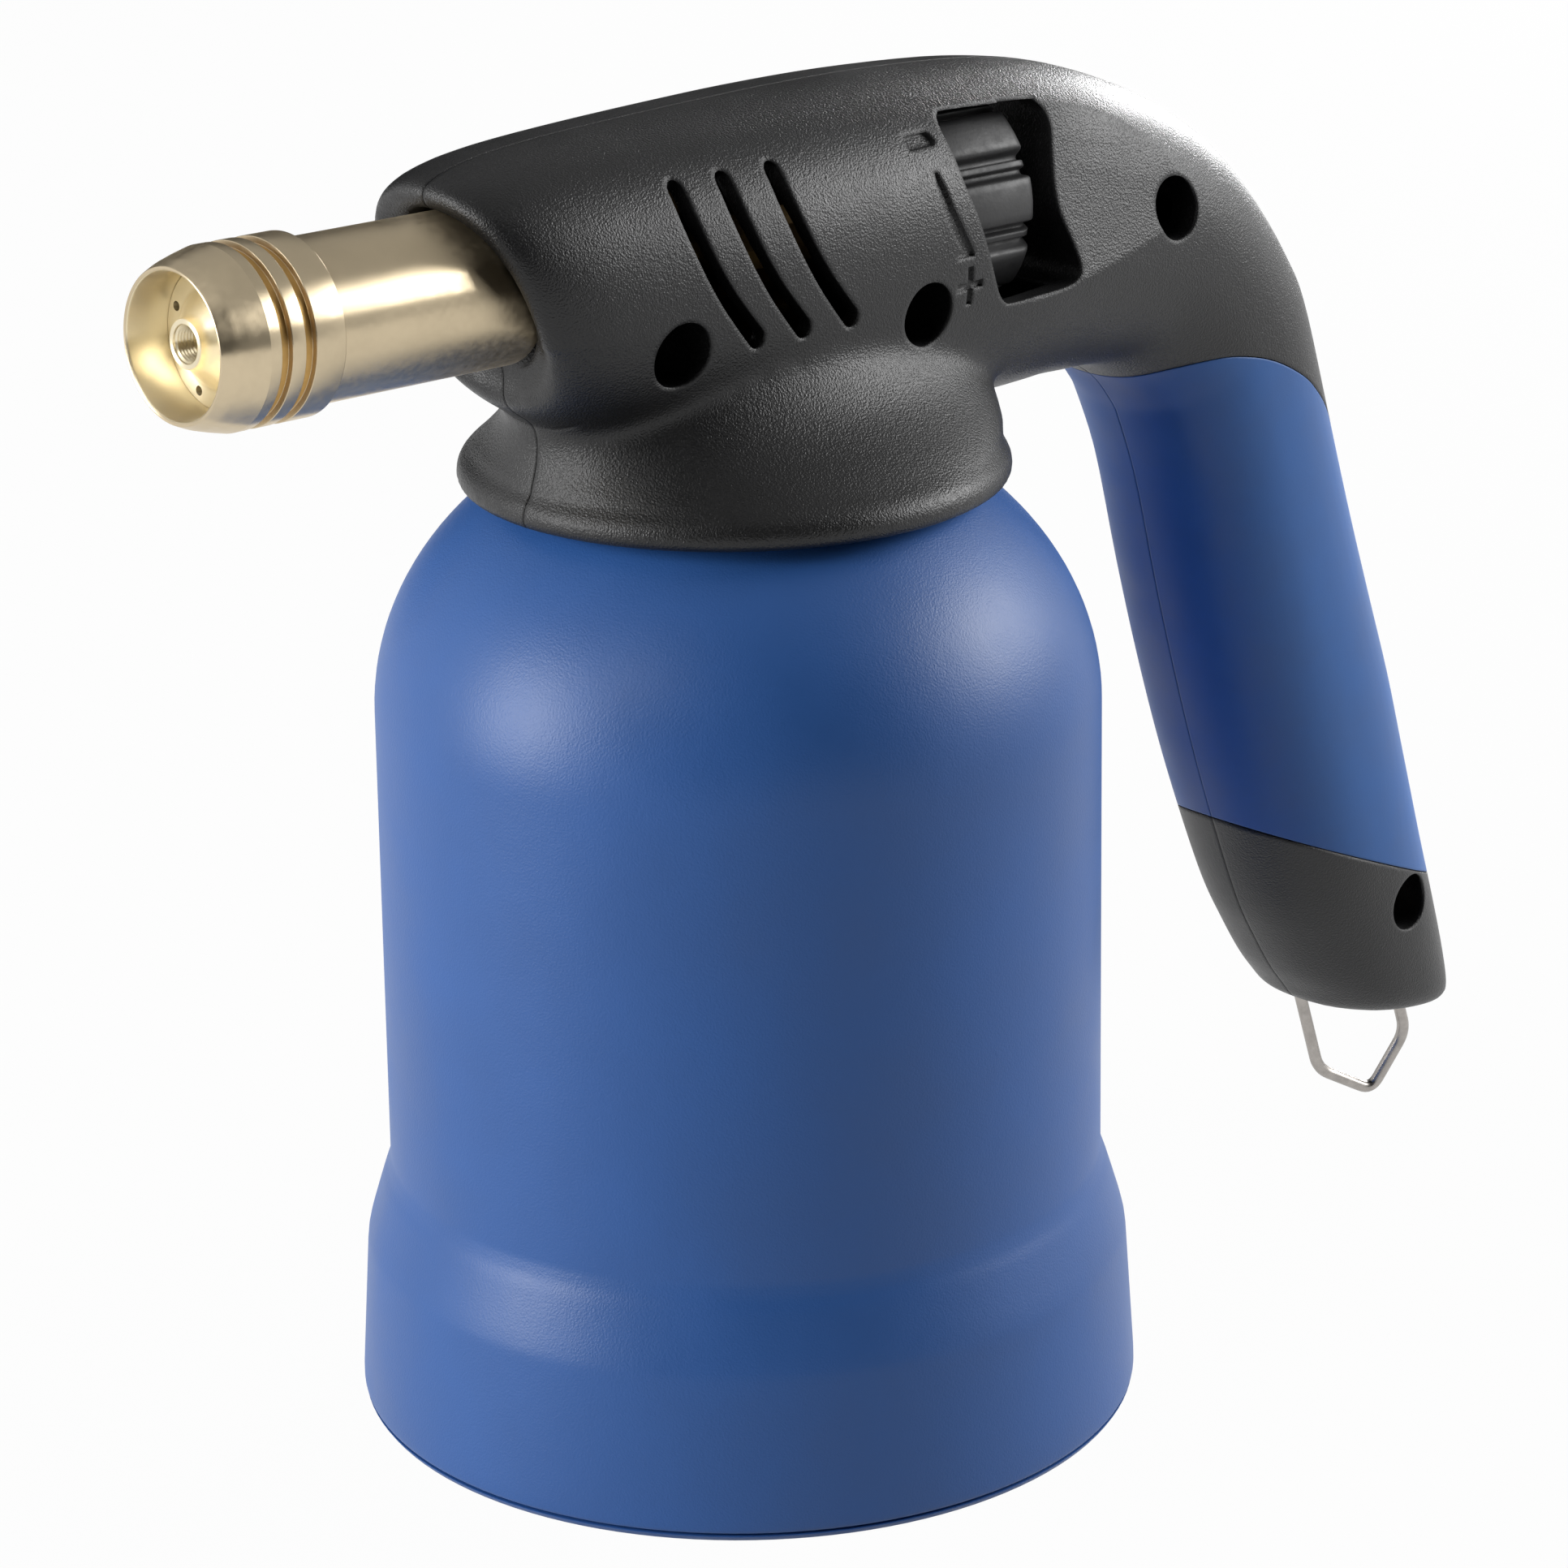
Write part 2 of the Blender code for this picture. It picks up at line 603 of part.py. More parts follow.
def blended(stations, steps):
    """Catmull-Rom blend of station tuples, with the same number of steps in each span."""
    out = []
    for index in range(len(stations) - 1):
        before = stations[max(index - 1, 0)]
        start = stations[index]
        end = stations[index + 1]
        after = stations[min(index + 2, len(stations) - 1)]
        for step in range(steps):
            t = step / steps
            out.append(tuple(
                (2 * b + (c - a) * t + (2 * a - 5 * b + 4 * c - d) * t ** 2
                 + (3 * b - a - 3 * c + d) * t ** 3) / 2
                for a, b, c, d in zip(before, start, end, after)
            ))
    out.append(tuple(stations[-1]))
    return out


def lofted(stations, count, power):
    """Skin rings across (x, z, lean, half depth, half width) stations and close both ends."""
    bm = bmesh.new()
    rings = []
    for x, z, lean, depth, width in stations:
        up = Vector((-math.sin(lean), 0.0, math.cos(lean)))
        side = Vector((0.0, 1.0, 0.0))
        centre = Vector((x, 0.0, z))
        rings.append([
            bm.verts.new(centre + up * depth * high + side * width * wide)
            for high, wide in oval(count, power)
        ])
    for near, far in zip(rings, rings[1:]):
        for index in range(count):
            after = (index + 1) % count
            bm.faces.new((near[index], near[after], far[after], far[index]))
    bm.faces.new(rings[0])
    bm.faces.new(list(reversed(rings[-1])))
    return mesh_from(bm)


def head_stations():
    """Stations from the nose to where the shell starts to bend."""
    out = []
    for along, drop, lean, depth, width in HEAD_STATION_SHARES:
        reach = NOSE_REACH if along < 0 else ARM_REACH
        tilt = NOSE_LEAN if along < 0 else ARM_LEAN
        out.append((
            along * reach, BURNER_HEIGHT - drop * HEAD_DROP, lean * tilt,
            depth * HEAD_DEPTH, width * HEAD_WIDTH,
        ))
    return out


def bend_stations():
    """Stations round the bend, on a curve drawn to the knee."""
    out = []
    for along, outward, depth, width in blended(BEND_STATION_SHARES, BEND_STEPS):
        start = BEND_START.lerp(KNEE, along)
        end = KNEE.lerp(HANDLE_TOP, along)
        travel = end - start
        lean = math.atan2(travel.z, travel.x)
        up = Vector((-math.sin(lean), 0.0, math.cos(lean)))
        centre = start.lerp(end, along) + outward * HEAD_DEPTH * up
        out.append((centre.x, centre.z, lean, depth * HEAD_DEPTH, width * HEAD_WIDTH))
    return out


def handle_stations():
    """Stations down the handle, the last ones turned to the heel's slant."""
    out = []
    for along, across, turn, depth, width in HANDLE_STATION_SHARES:
        centre = HANDLE_TOP + along * HANDLE_LENGTH * HANDLE_AXIS + across * HANDLE_DEPTH * HANDLE_BACK
        lean = HANDLE_LEAN - QUARTER - turn * HEEL_TURN
        out.append((centre.x, centre.z, lean, depth * HANDLE_DEPTH, width * HANDLE_WIDTH))
    return out


def shrunk(stations, wall):
    """The same stations, drawn in by a wall."""
    return [(x, z, lean, depth - wall, width - wall) for x, z, lean, depth, width in stations]


def shell_form():
    """The whole outer form of the head and handle."""
    stations = head_stations() + bend_stations() + handle_stations()
    return lofted(stations, SHELL_POINTS, SHELL_POWER)


def neck_form():
    """The flange over the bell, and the hollow sweep from it into the head."""
    rings = []
    for up, inside in LIP_SHARES:
        radius = FLANGE_RADIUS * (1 - inside)
        rings.append((FLANGE_UNDERSIDE + up * FLANGE_LIP, 0.0, radius, radius))
    lip_top = FLANGE_UNDERSIDE + FLANGE_LIP
    lip_radius = rings[-1][2]
    for up, shift, out in NECK_SHARES:
        wide = NECK_TOP_WIDTH + (lip_radius - NECK_TOP_WIDTH) * out
        rings.append((lip_top + NECK_HEIGHT * up, NECK_SHIFT * shift, NECK_RADIUS, wide))
    bm = bmesh.new()
    loops = []
    for height, shift, long, wide in rings:
        loops.append([
            bm.verts.new((shift + long * math.cos(angle), wide * math.sin(angle), height))
            for angle in [math.tau * index / LARGE_SEGMENTS for index in range(LARGE_SEGMENTS)]
        ])
    for low, high in zip(loops, loops[1:]):
        for index in range(LARGE_SEGMENTS):
            after = (index + 1) % LARGE_SEGMENTS
            bm.faces.new((low[index], low[after], high[after], high[index]))
    bm.faces.new(list(reversed(loops[0])))
    bm.faces.new(loops[-1])
    return mesh_from(bm)


def neck_cavity():
    """The room under the neck for the bell's crown and the lock nut."""
    height = VALVE_BOTTOM - FLANGE_UNDERSIDE
    profile = [(0.0, FLANGE_UNDERSIDE - OVERRUN)]
    profile.append((FLANGE_RADIUS * NECK_CAVITY_SHARES[0][1], FLANGE_UNDERSIDE - OVERRUN))
    for up, radius in NECK_CAVITY_SHARES:
        profile.append((FLANGE_RADIUS * radius, FLANGE_UNDERSIDE + up * height))
    profile.append((FLANGE_RADIUS * NECK_CAVITY_SHARES[-1][1], WEB_BOTTOM + 2 * WEB_HEIGHT))
    profile.append((0.0, WEB_BOTTOM + 2 * WEB_HEIGHT))
    return turned(profile, MEDIUM_SEGMENTS)


def head_cavity():
    """The room for the mixing pipe, the valve and the knob."""
    stations = []
    for x, z, lean, depth, width in shrunk(head_stations(), SHELL_WALL)[5:]:
        stations.append((x, z, 0.0, depth, width))
    last = stations[-1]
    stations.append((CAVITY_BACK, last[1], 0.0, last[3], HEAD_CAVITY_RADIUS))
    ordered = [station for station in stations if station[0] < CAVITY_BACK] + [stations[-1]]
    return lofted(ordered, CORE_POINTS, SHELL_POWER)


def handle_cavity():
    """The hollow inside the handle, from the bend to above its end screw."""
    stations = shrunk(bend_stations()[BEND_STEPS * 3:] + handle_stations()[:5], SHELL_WALL + GRIP_WALL)
    return lofted(stations, CAVITY_POINTS, SHELL_POWER)


def vent_cutter(index):
    """One curved slot, as a ribbon with square ends, pushed through the left wall."""
    start = VENT_START + index * VENT_PITCH
    middle = []
    for down, back in VENT_PATH_SHARES:
        middle.append(Vector((start + back * VENT_SWEEP, BURNER_HEIGHT + VENT_TOP - down * VENT_DROP)))
    left = []
    right = []
    for place, point in enumerate(middle):
        before = middle[max(place - 1, 0)]
        after = middle[min(place + 1, len(middle) - 1)]
        travel = (after - before).normalized()
        across = Vector((-travel.y, travel.x)) * VENT_WIDTH / 2
        left.append(tuple(point + across))
        right.append(tuple(point - across))
    return left + list(reversed(right))


def window_outline():
    """The knob's window, seen from the side."""
    return [
        (WINDOW_START + back * WINDOW_LENGTH, BURNER_HEIGHT + WINDOW_FLOOR + up * WINDOW_HEIGHT)
        for back, up in WINDOW_SHARES
    ]


def facet_cutter(side):
    """A wedge that planes the shell's side from its apex down to the window's edge."""
    outer = HEAD_WIDTH + OVERRUN
    surface = HEAD_WIDTH * BEND_STATION_SHARES[1][2]
    slope = FACET_DEPTH / (FACET_APEX - WINDOW_START - WINDOW_LENGTH)
    front_y = surface - slope * (FACET_APEX - FACET_FRONT)
    corners = [
        (FACET_FRONT, front_y), (FACET_APEX, surface),
        (FACET_APEX, outer), (FACET_FRONT, outer),
    ]
    bm = bmesh.new()
    low = BURNER_HEIGHT - FACET_HEIGHT / 2 - HEAD_DROP
    loop = [bm.verts.new((x, side * y, low)) for x, y in corners]
    face = bm.faces.new(loop)
    grown = bmesh.ops.extrude_face_region(bm, geom=[face])["geom"]
    moved = [item for item in grown if isinstance(item, bmesh.types.BMVert)]
    bmesh.ops.translate(bm, verts=moved, vec=(0.0, 0.0, FACET_HEIGHT))
    return mesh_from(bm)


def grip_zone(grow):
    """The soft grip's region, seen from the side, grown by a gap for the seat in the shell."""
    outline = []
    for back, down in GRIP_EDGE_SHARES:
        outline.append((
            GRIP_FRONT + back * (GRIP_BACK - GRIP_FRONT),
            GRIP_TOP - down * GRIP_DROP + grow,
        ))
    foot_back = HANDLE_END.x + GRIP_FOOT_BEHIND
    outline.append((foot_back, outline[-1][1]))
    outline.append((foot_back, HANDLE_END.z + GRIP_FOOT_BEHIND_RISE - grow))
    outline.append((HANDLE_END.x - GRIP_FOOT_AHEAD, HANDLE_END.z + GRIP_FOOT_AHEAD_RISE - grow))
    return prism(outline, -2 * HANDLE_WIDTH, 2 * HANDLE_WIDTH)


def grip_core(wall):
    """The handle's core under the grips."""
    stations = shrunk(head_stations()[-2:] + bend_stations() + handle_stations(), wall)
    return lofted(stations, CORE_POINTS, SHELL_POWER)


def side_box(side):
    """Everything on one side of the parting plane."""
    near = side * PARTING_GAP / 2
    far = side * 2 * FLANGE_RADIUS
    reach = NOSE_REACH + HANDLE_LENGTH + HEAD_DEPTH
    low = (-reach, min(near, far), 0.0)
    high = (2 * reach, max(near, far), BURNER_HEIGHT + 2 * HEAD_DEPTH)
    return box(low, high)


def hook_bore():
    """The round socket in the handle's end, with the groove that holds the hook's feet."""
    start = HOOK_CORNER - HOOK_BORE_DEPTH
    groove = HOOK_CORNER - HOOK_GROOVE_PLACE
    half = WIRE_RADIUS + GAP
    profile = [
        (0.0, start), (HOOK_BORE, start), (HOOK_BORE, groove - half),
        (HOOK_BORE + HOOK_GROOVE_DEPTH, groove - half), (HOOK_BORE + HOOK_GROOVE_DEPTH, groove + half),
        (HOOK_BORE, groove + half), (HOOK_BORE, HOOK_CORNER + HOOK_POINT), (0.0, HOOK_CORNER + HOOK_POINT),
    ]
    mesh = turned(profile, SMALL_SEGMENTS)
    turn = HANDLE_AXIS.to_track_quat("Z", "Y").to_matrix().to_4x4()
    place = HANDLE_TOP + HOOK_OFFSET * HANDLE_BACK
    mesh.transform(Matrix.Translation(place) @ turn)
    return mesh


def screw_post(place, reach):
    """A pair of posts that meet at the parting plane, the left one wide for the screw's head."""
    x, z = place
    shelf_end = SCREW_SHELF - SCREW_SHELF_WALL
    shelf_middle = SCREW_SHELF - SCREW_SHELF_WALL / 2
    wide = rod(SCREW_RECESS + POST_WALL, -reach, -shelf_end, SMALL_SEGMENTS, "Y", (x, 0.0, z))
    thin = rod(THREAD_POST_RADIUS, -shelf_middle, reach, SMALL_SEGMENTS, "Y", (x, 0.0, z))
    return wide, thin


def screw_holes(place):
    """The recess for the screw's head and the hole for its shank."""
    x, z = place
    recess = rod(SCREW_RECESS, -HEAD_WIDTH - OVERRUN, -SCREW_SHELF, SMALL_SEGMENTS, "Y", (x, 0.0, z))
    reach = SCREW_LENGTH - SCREW_SHELF + OVERRUN
    shank = rod(SCREW_RADIUS + GAP, -SCREW_SHELF - OVERRUN, reach, TINY_SEGMENTS, "Y", (x, 0.0, z))
    return recess, shank


def make_shell(material, grip_material):
    """The two shell halves and the two grips let into them."""
    form = cut(joined(shell_form(), neck_form()), hook_bore())
    room_start = KNOB_START - KNOB_HUB_REACH - RUN
    knob_room = rod(
        KNOB_RADIUS + KNOB_CLEARANCE, room_start, CAVITY_BACK, MEDIUM_SEGMENTS, "X", BURNER_POINT,
    )
    cavity = joined(head_cavity(), neck_cavity(), knob_room)
    shell = cut(form.copy(), cavity, handle_cavity())
    web_top = WEB_BOTTOM + WEB_HEIGHT
    web = cut(
        rod(HEAD_WIDTH, WEB_BOTTOM, web_top, MEDIUM_SEGMENTS),
        rod(VALVE_BOSS_RADIUS + GAP, WEB_BOTTOM - OVERRUN, web_top + OVERRUN, MEDIUM_SEGMENTS),
    )
    posts = []
    for place, reach in zip(SCREW_PLACES, SCREW_WALL_REACH):
        posts.extend(screw_post(place, reach))
    shell = joined(shell, web, *posts)
    cutters = [
        rod(NOSE_BORE, -2 * NOSE_REACH, -NOSE_BORE_END, MEDIUM_SEGMENTS, "X", BURNER_POINT),
        rod(TUBE_RADIUS + GAP, -NOSE_REACH, -TUBE_START + OVERRUN, MEDIUM_SEGMENTS, "X", BURNER_POINT),
        rod(MIXING_RADIUS + RUN, -TUBE_START, -BURNER_STOP_END, SMALL_SEGMENTS, "X", BURNER_POINT),
        facet_cutter(-1),
        facet_cutter(1),
        prism(window_outline(), -2 * HEAD_WIDTH, 2 * HEAD_WIDTH),
    ]
    for index in range(VENT_COUNT):
        cutters.append(prism(vent_cutter(index), -2 * HEAD_WIDTH, 2 * HEAD_WIDTH))
    for place in SCREW_PLACES:
        cutters.extend(screw_holes(place))
    seat = cut(grip_zone(GAP), grip_core(GRIP_WALL + GAP))
    shell = cut(shell, *cutters, seat)
    grip = cut(common(form, grip_zone(0.0)), grip_core(GRIP_WALL))
    for name, side in (("left", -1), ("right", 1)):
        new_object("housing_" + name, thinned(common(shell.copy(), side_box(side))), material)
        new_object("grip_" + name, thinned(common(grip.copy(), side_box(side))), grip_material)


def make_bell(material):
    """The painted bell over the cartridge."""
    outer = [(BASE_RADIUS, BELL_FOOT), (SKIRT_TOP_RADIUS, SKIRT_HEIGHT)]
    for up, out in SHOULDER_SHARES:
        outer.append((
            BODY_RADIUS + out * (SKIRT_TOP_RADIUS - BODY_RADIUS),
            SKIRT_HEIGHT + up * (BODY_START - SKIRT_HEIGHT),
        ))
    steepest = math.acos(CROWN_RADIUS / BODY_TOP_RADIUS)
    inner_steepest = math.acos(CROWN_RADIUS / (BODY_TOP_RADIUS - BELL_WALL))
    inner = []
    for step in range(DOME_STEPS + 1):
        angle = steepest * step / DOME_STEPS
        outer.append((BODY_TOP_RADIUS * math.cos(angle), DOME_START + DOME_RISE * math.sin(angle)))
    rise = (CROWN_BOTTOM - DOME_START) / math.sin(inner_steepest)
    for step in range(DOME_INNER_STEPS + 1):
        angle = inner_steepest * step / DOME_INNER_STEPS
        inner.append(((BODY_TOP_RADIUS - BELL_WALL) * math.cos(angle), DOME_START + rise * math.sin(angle)))
    profile = outer + [(STEM_HOLE, CROWN_TOP), (STEM_HOLE, CROWN_BOTTOM)] + list(reversed(inner))
    profile.append((BODY_RADIUS - BELL_WALL, BODY_START))
    profile.append((SKIRT_BORE, SKIRT_HEIGHT))
    profile.append((SKIRT_BORE, BELL_FOOT))
    new_object("cartridge_housing", turned(profile, LARGE_SEGMENTS), material)


def make_base_cap(material):
    """The cap that screws into the skirt and lifts the cartridge, with a bar to turn it by."""
    wall = SKIRT_BORE - GAP
    floor_top = CAP_FLOOR + CAP_FLOOR_WALL
    profile = [
        (0.0, CAP_FLOOR), (CAP_RIM_INNER, CAP_FLOOR), (CAP_RIM_INNER + CAP_FACET_LIP, 0.0),
        (CAP_LIP_RADIUS - CAP_LIP, 0.0), (CAP_LIP_RADIUS, CAP_LIP), (wall, CAP_LIP),
        (wall, CAP_WALL_HEIGHT), (wall - CAP_WALL, CAP_WALL_HEIGHT), (wall - CAP_WALL, floor_top),
        (SEAT_RING_RADIUS, floor_top), (SEAT_RING_RADIUS, SEAT_HEIGHT),
        (SEAT_RING_RADIUS - SEAT_RING_WALL, SEAT_HEIGHT), (SEAT_RING_RADIUS - SEAT_RING_WALL, floor_top),
        (0.0, floor_top),
    ]
    reach = CAP_RIM_INNER + CAP_FACET_LIP
    bar = box((-reach, -GRIP_BAR_WIDTH / 2, 0.0), (reach, GRIP_BAR_WIDTH / 2, CAP_FLOOR + OVERRUN))
    new_object("base_cap", joined(turned(profile, LARGE_SEGMENTS), bar), material)


def can_profile(inset):
    """The cartridge's outline from its pierced top down to the middle of its dished foot."""
    side = CARTRIDGE_RADIUS - inset
    crown = CAN_TOP - CAN_BUTTON_HEIGHT - inset
    shoulder = CAN_BOTTOM + CAN_SHOULDER
    points = [(PIERCED_RADIUS, CAN_TOP - inset), (CAN_BUTTON_RADIUS - inset, CAN_TOP - inset)]
    points.append((CAN_BUTTON_RADIUS - inset, crown))
    flat = CAN_BUTTON_RADIUS + CAN_CURL - inset
    for step in range(CAN_SHOULDER_STEPS + 1):
        angle = QUARTER * (1 - step / CAN_SHOULDER_STEPS)
        points.append((
            flat + (side - flat) * math.cos(angle),
            shoulder + (crown - shoulder) * math.sin(angle),
        ))
    points.append((side, CAN_BOTTOM + CAN_CURL))
    points.append((CAN_FOOT_RADIUS, CAN_BOTTOM + inset))
    points.append((CAN_FOOT_RADIUS - CAN_CURL, CAN_BOTTOM + inset))
    points.append((CAN_FOOT_RADIUS - 2 * CAN_CURL, CAN_BOTTOM + CAN_DISH + inset))
    points.append((0.0, CAN_BOTTOM + CAN_DISH + inset))
    return points


def make_cartridge(material):
    """The pierced steel can, open where the needle enters."""
    profile = list(reversed(can_profile(0.0))) + can_profile(CAN_WALL)
    new_object("gas_cartridge", turned(profile, MEDIUM_SEGMENTS), material)


def make_gas_way(brass, steel, rubber):
    """Needle, gasket, socket and lock nut, on the bell's axis."""
    tip = CAN_TOP - NEEDLE_REACH
    needle_top = SOCKET_BOTTOM + NEEDLE_GRIP
    new_object("piercing_needle", turned([
        (NEEDLE_BORE, needle_top), (NEEDLE_RADIUS, needle_top), (NEEDLE_RADIUS, tip + NEEDLE_TIP),
        (NEEDLE_BORE + GAP, tip), (NEEDLE_BORE, tip),
    ], TINY_SEGMENTS), steel)
    new_object("cartridge_gasket", turned([
        (GASKET_BORE, GASKET_BOTTOM), (GASKET_RADIUS, GASKET_BOTTOM),
        (GASKET_RADIUS, GASKET_BOTTOM + GASKET_HEIGHT), (GASKET_BORE, GASKET_BOTTOM + GASKET_HEIGHT),
    ], SMALL_SEGMENTS), rubber)
    needle_seat = NEEDLE_RADIUS + GAP
    new_object("piercing_socket", turned([
        (needle_seat, SOCKET_BOTTOM), (SOCKET_RADIUS, SOCKET_BOTTOM),
        (SOCKET_RADIUS, SOCKET_TOP - SOCKET_FLANGE), (SOCKET_FLANGE_RADIUS, SOCKET_TOP - SOCKET_FLANGE),
        (SOCKET_FLANGE_RADIUS, SOCKET_TOP), (STEM_RADIUS, SOCKET_TOP), (STEM_RADIUS, STEM_TOP),
        (SOCKET_BORE, STEM_TOP), (SOCKET_BORE, needle_top + GAP), (needle_seat, needle_top + GAP),
    ], SMALL_SEGMENTS), brass)
    new_object("lock_nut", hexagon(LOCK_NUT_FLATS, NUT_BOTTOM, NUT_TOP, STEM_HOLE), steel)


def make_valve(brass, steel, rubber):
    """Valve body, packing nut, ring and spindle, on the burner's axis."""
    socket_top = VALVE_BOTTOM + VALVE_SOCKET_DEPTH
    boss = turned([
        (STEM_HOLE, VALVE_BOTTOM), (VALVE_BOSS_RADIUS, VALVE_BOTTOM), (VALVE_BOSS_RADIUS, VALVE_BOSS_TOP),
        (0.0, VALVE_BOSS_TOP), (0.0, socket_top), (STEM_HOLE, socket_top),
    ], SMALL_SEGMENTS)
    block = rod(VALVE_BLOCK_RADIUS, -VALVE_FRONT, VALVE_BACK, SMALL_SEGMENTS, "X", BURNER_POINT)
    spindle_bore = SPINDLE_RADIUS + GAP
    jet_bore = JET_RADIUS + GAP
    seat = SPINDLE_SEAT - SPINDLE_CONE
    jet_seat = JET_LENGTH / 2 - VALVE_FRONT
    body = cut(
        joined(boss, block),
        rod(PACKING_BORE, PACKING_START, VALVE_BACK + OVERRUN, SMALL_SEGMENTS, "X", BURNER_POINT),
        rod(spindle_bore, seat, PACKING_START + OVERRUN, TINY_SEGMENTS, "X", BURNER_POINT),
        rod(GAS_BORE, -VALVE_FRONT, SPINDLE_SEAT, TINY_SEGMENTS, "X", BURNER_POINT),
        rod(jet_bore, -VALVE_FRONT - OVERRUN, jet_seat, TINY_SEGMENTS, "X", BURNER_POINT),
        rod(SOCKET_BORE, socket_top - OVERRUN, BURNER_HEIGHT - SPINDLE_POINT, TINY_SEGMENTS),
    )
    new_object("valve_body", body, brass)
    nut = hexagon(PACKING_NUT_FLATS, VALVE_BACK + GAP, PACKING_END, spindle_bore, "X", BURNER_POINT)
    spigot = turned([
        (spindle_bore, VALVE_BACK - PACKING_SPIGOT), (PACKING_BORE - GAP, VALVE_BACK - PACKING_SPIGOT),
        (PACKING_BORE - GAP, VALVE_BACK + OVERRUN), (spindle_bore, VALVE_BACK + OVERRUN),
    ], SMALL_SEGMENTS, "X", BURNER_POINT)
    new_object("packing_nut", joined(nut, spigot), brass)
    middle = spindle_bore + RING_RADIUS
    centre = PACKING_START + GAP + RING_RADIUS
    ring = []
    for index in range(SEAL_POINTS):
        angle = math.tau * index / SEAL_POINTS
        ring.append((middle + RING_RADIUS * math.cos(angle), centre + RING_RADIUS * math.sin(angle)))
    new_object("spindle_seal", turned(ring, TINY_SEGMENTS, "X", BURNER_POINT), rubber)
    tail = KNOB_START + KNOB_LENGTH - KNOB_DISH_DEPTH
    spindle = turned([
        (0.0, seat + GAP), (SPINDLE_POINT, seat + GAP), (SPINDLE_RADIUS, SPINDLE_SEAT + GAP),
        (SPINDLE_RADIUS, tail), (0.0, tail),
    ], TINY_SEGMENTS, "X", BURNER_POINT)
    new_object("valve_spindle", spindle, steel, BURNER_POINT)


def knob_outline():
    """The fluted round of the knob, as (y, z) points about its axis."""
    points = []
    pitch = math.tau / KNOB_LOBES
    flute = pitch * KNOB_FLUTE_SHARE
    for lobe in range(KNOB_LOBES):
        groove = KNOB_PHASE + lobe * pitch
        for turn, depth in (
            (-flute / 2, 0.0), (-flute / 4, KNOB_FLUTE_DEPTH), (flute / 4, KNOB_FLUTE_DEPTH),
            (flute / 2, 0.0), (pitch / 2, 0.0),
        ):
            radius = KNOB_RADIUS - depth
            points.append((-radius * math.cos(groove + turn), radius * math.sin(groove + turn)))
    return points


def make_knob(material):
    """The fluted regulator knob, its back face dished."""
    outline = knob_outline()
    bm = bmesh.new()
    end = KNOB_START + KNOB_LENGTH
    small = 1 - KNOB_CHAMFER / KNOB_RADIUS
    rings = []
    for along, scale in (
        (KNOB_START, small), (KNOB_START + KNOB_CHAMFER, 1), (end - KNOB_CHAMFER, 1), (end, small),
    ):
        rings.append([bm.verts.new((along, y * scale, z * scale)) for y, z in outline])
    count = len(outline)
    for near, far in zip(rings, rings[1:]):
        for index in range(count):
            after = (index + 1) % count
            bm.faces.new((near[index], near[after], far[after], far[index]))
    bm.faces.new(rings[0])
    bm.faces.new(list(reversed(rings[-1])))
    turn = Matrix.Rotation(BURNER_TILT, 4, "Y")
    bmesh.ops.transform(bm, matrix=Matrix.Translation(BURNER_POINT) @ turn, verts=bm.verts)
    blank = mesh_from(bm)
    front = KNOB_START - KNOB_HUB_REACH
    hub = rod(KNOB_HUB_RADIUS, front, KNOB_START + OVERRUN, SMALL_SEGMENTS, "X", BURNER_POINT)
    dish = turned([
        (SPINDLE_RADIUS + 2 * KNOB_CHAMFER, end - KNOB_DISH_DEPTH), (KNOB_DISH_RADIUS, end - KNOB_DISH_DEPTH),
        (KNOB_DISH_RADIUS, end + OVERRUN), (SPINDLE_RADIUS + 2 * KNOB_CHAMFER, end + OVERRUN),
    ], SMALL_SEGMENTS, "X", BURNER_POINT)
    bore = rod(SPINDLE_RADIUS + GAP, front - OVERRUN, end + OVERRUN, TINY_SEGMENTS, "X", BURNER_POINT)
    new_object("regulator_knob", cut(joined(blank, hub), dish, bore), material, BURNER_POINT)


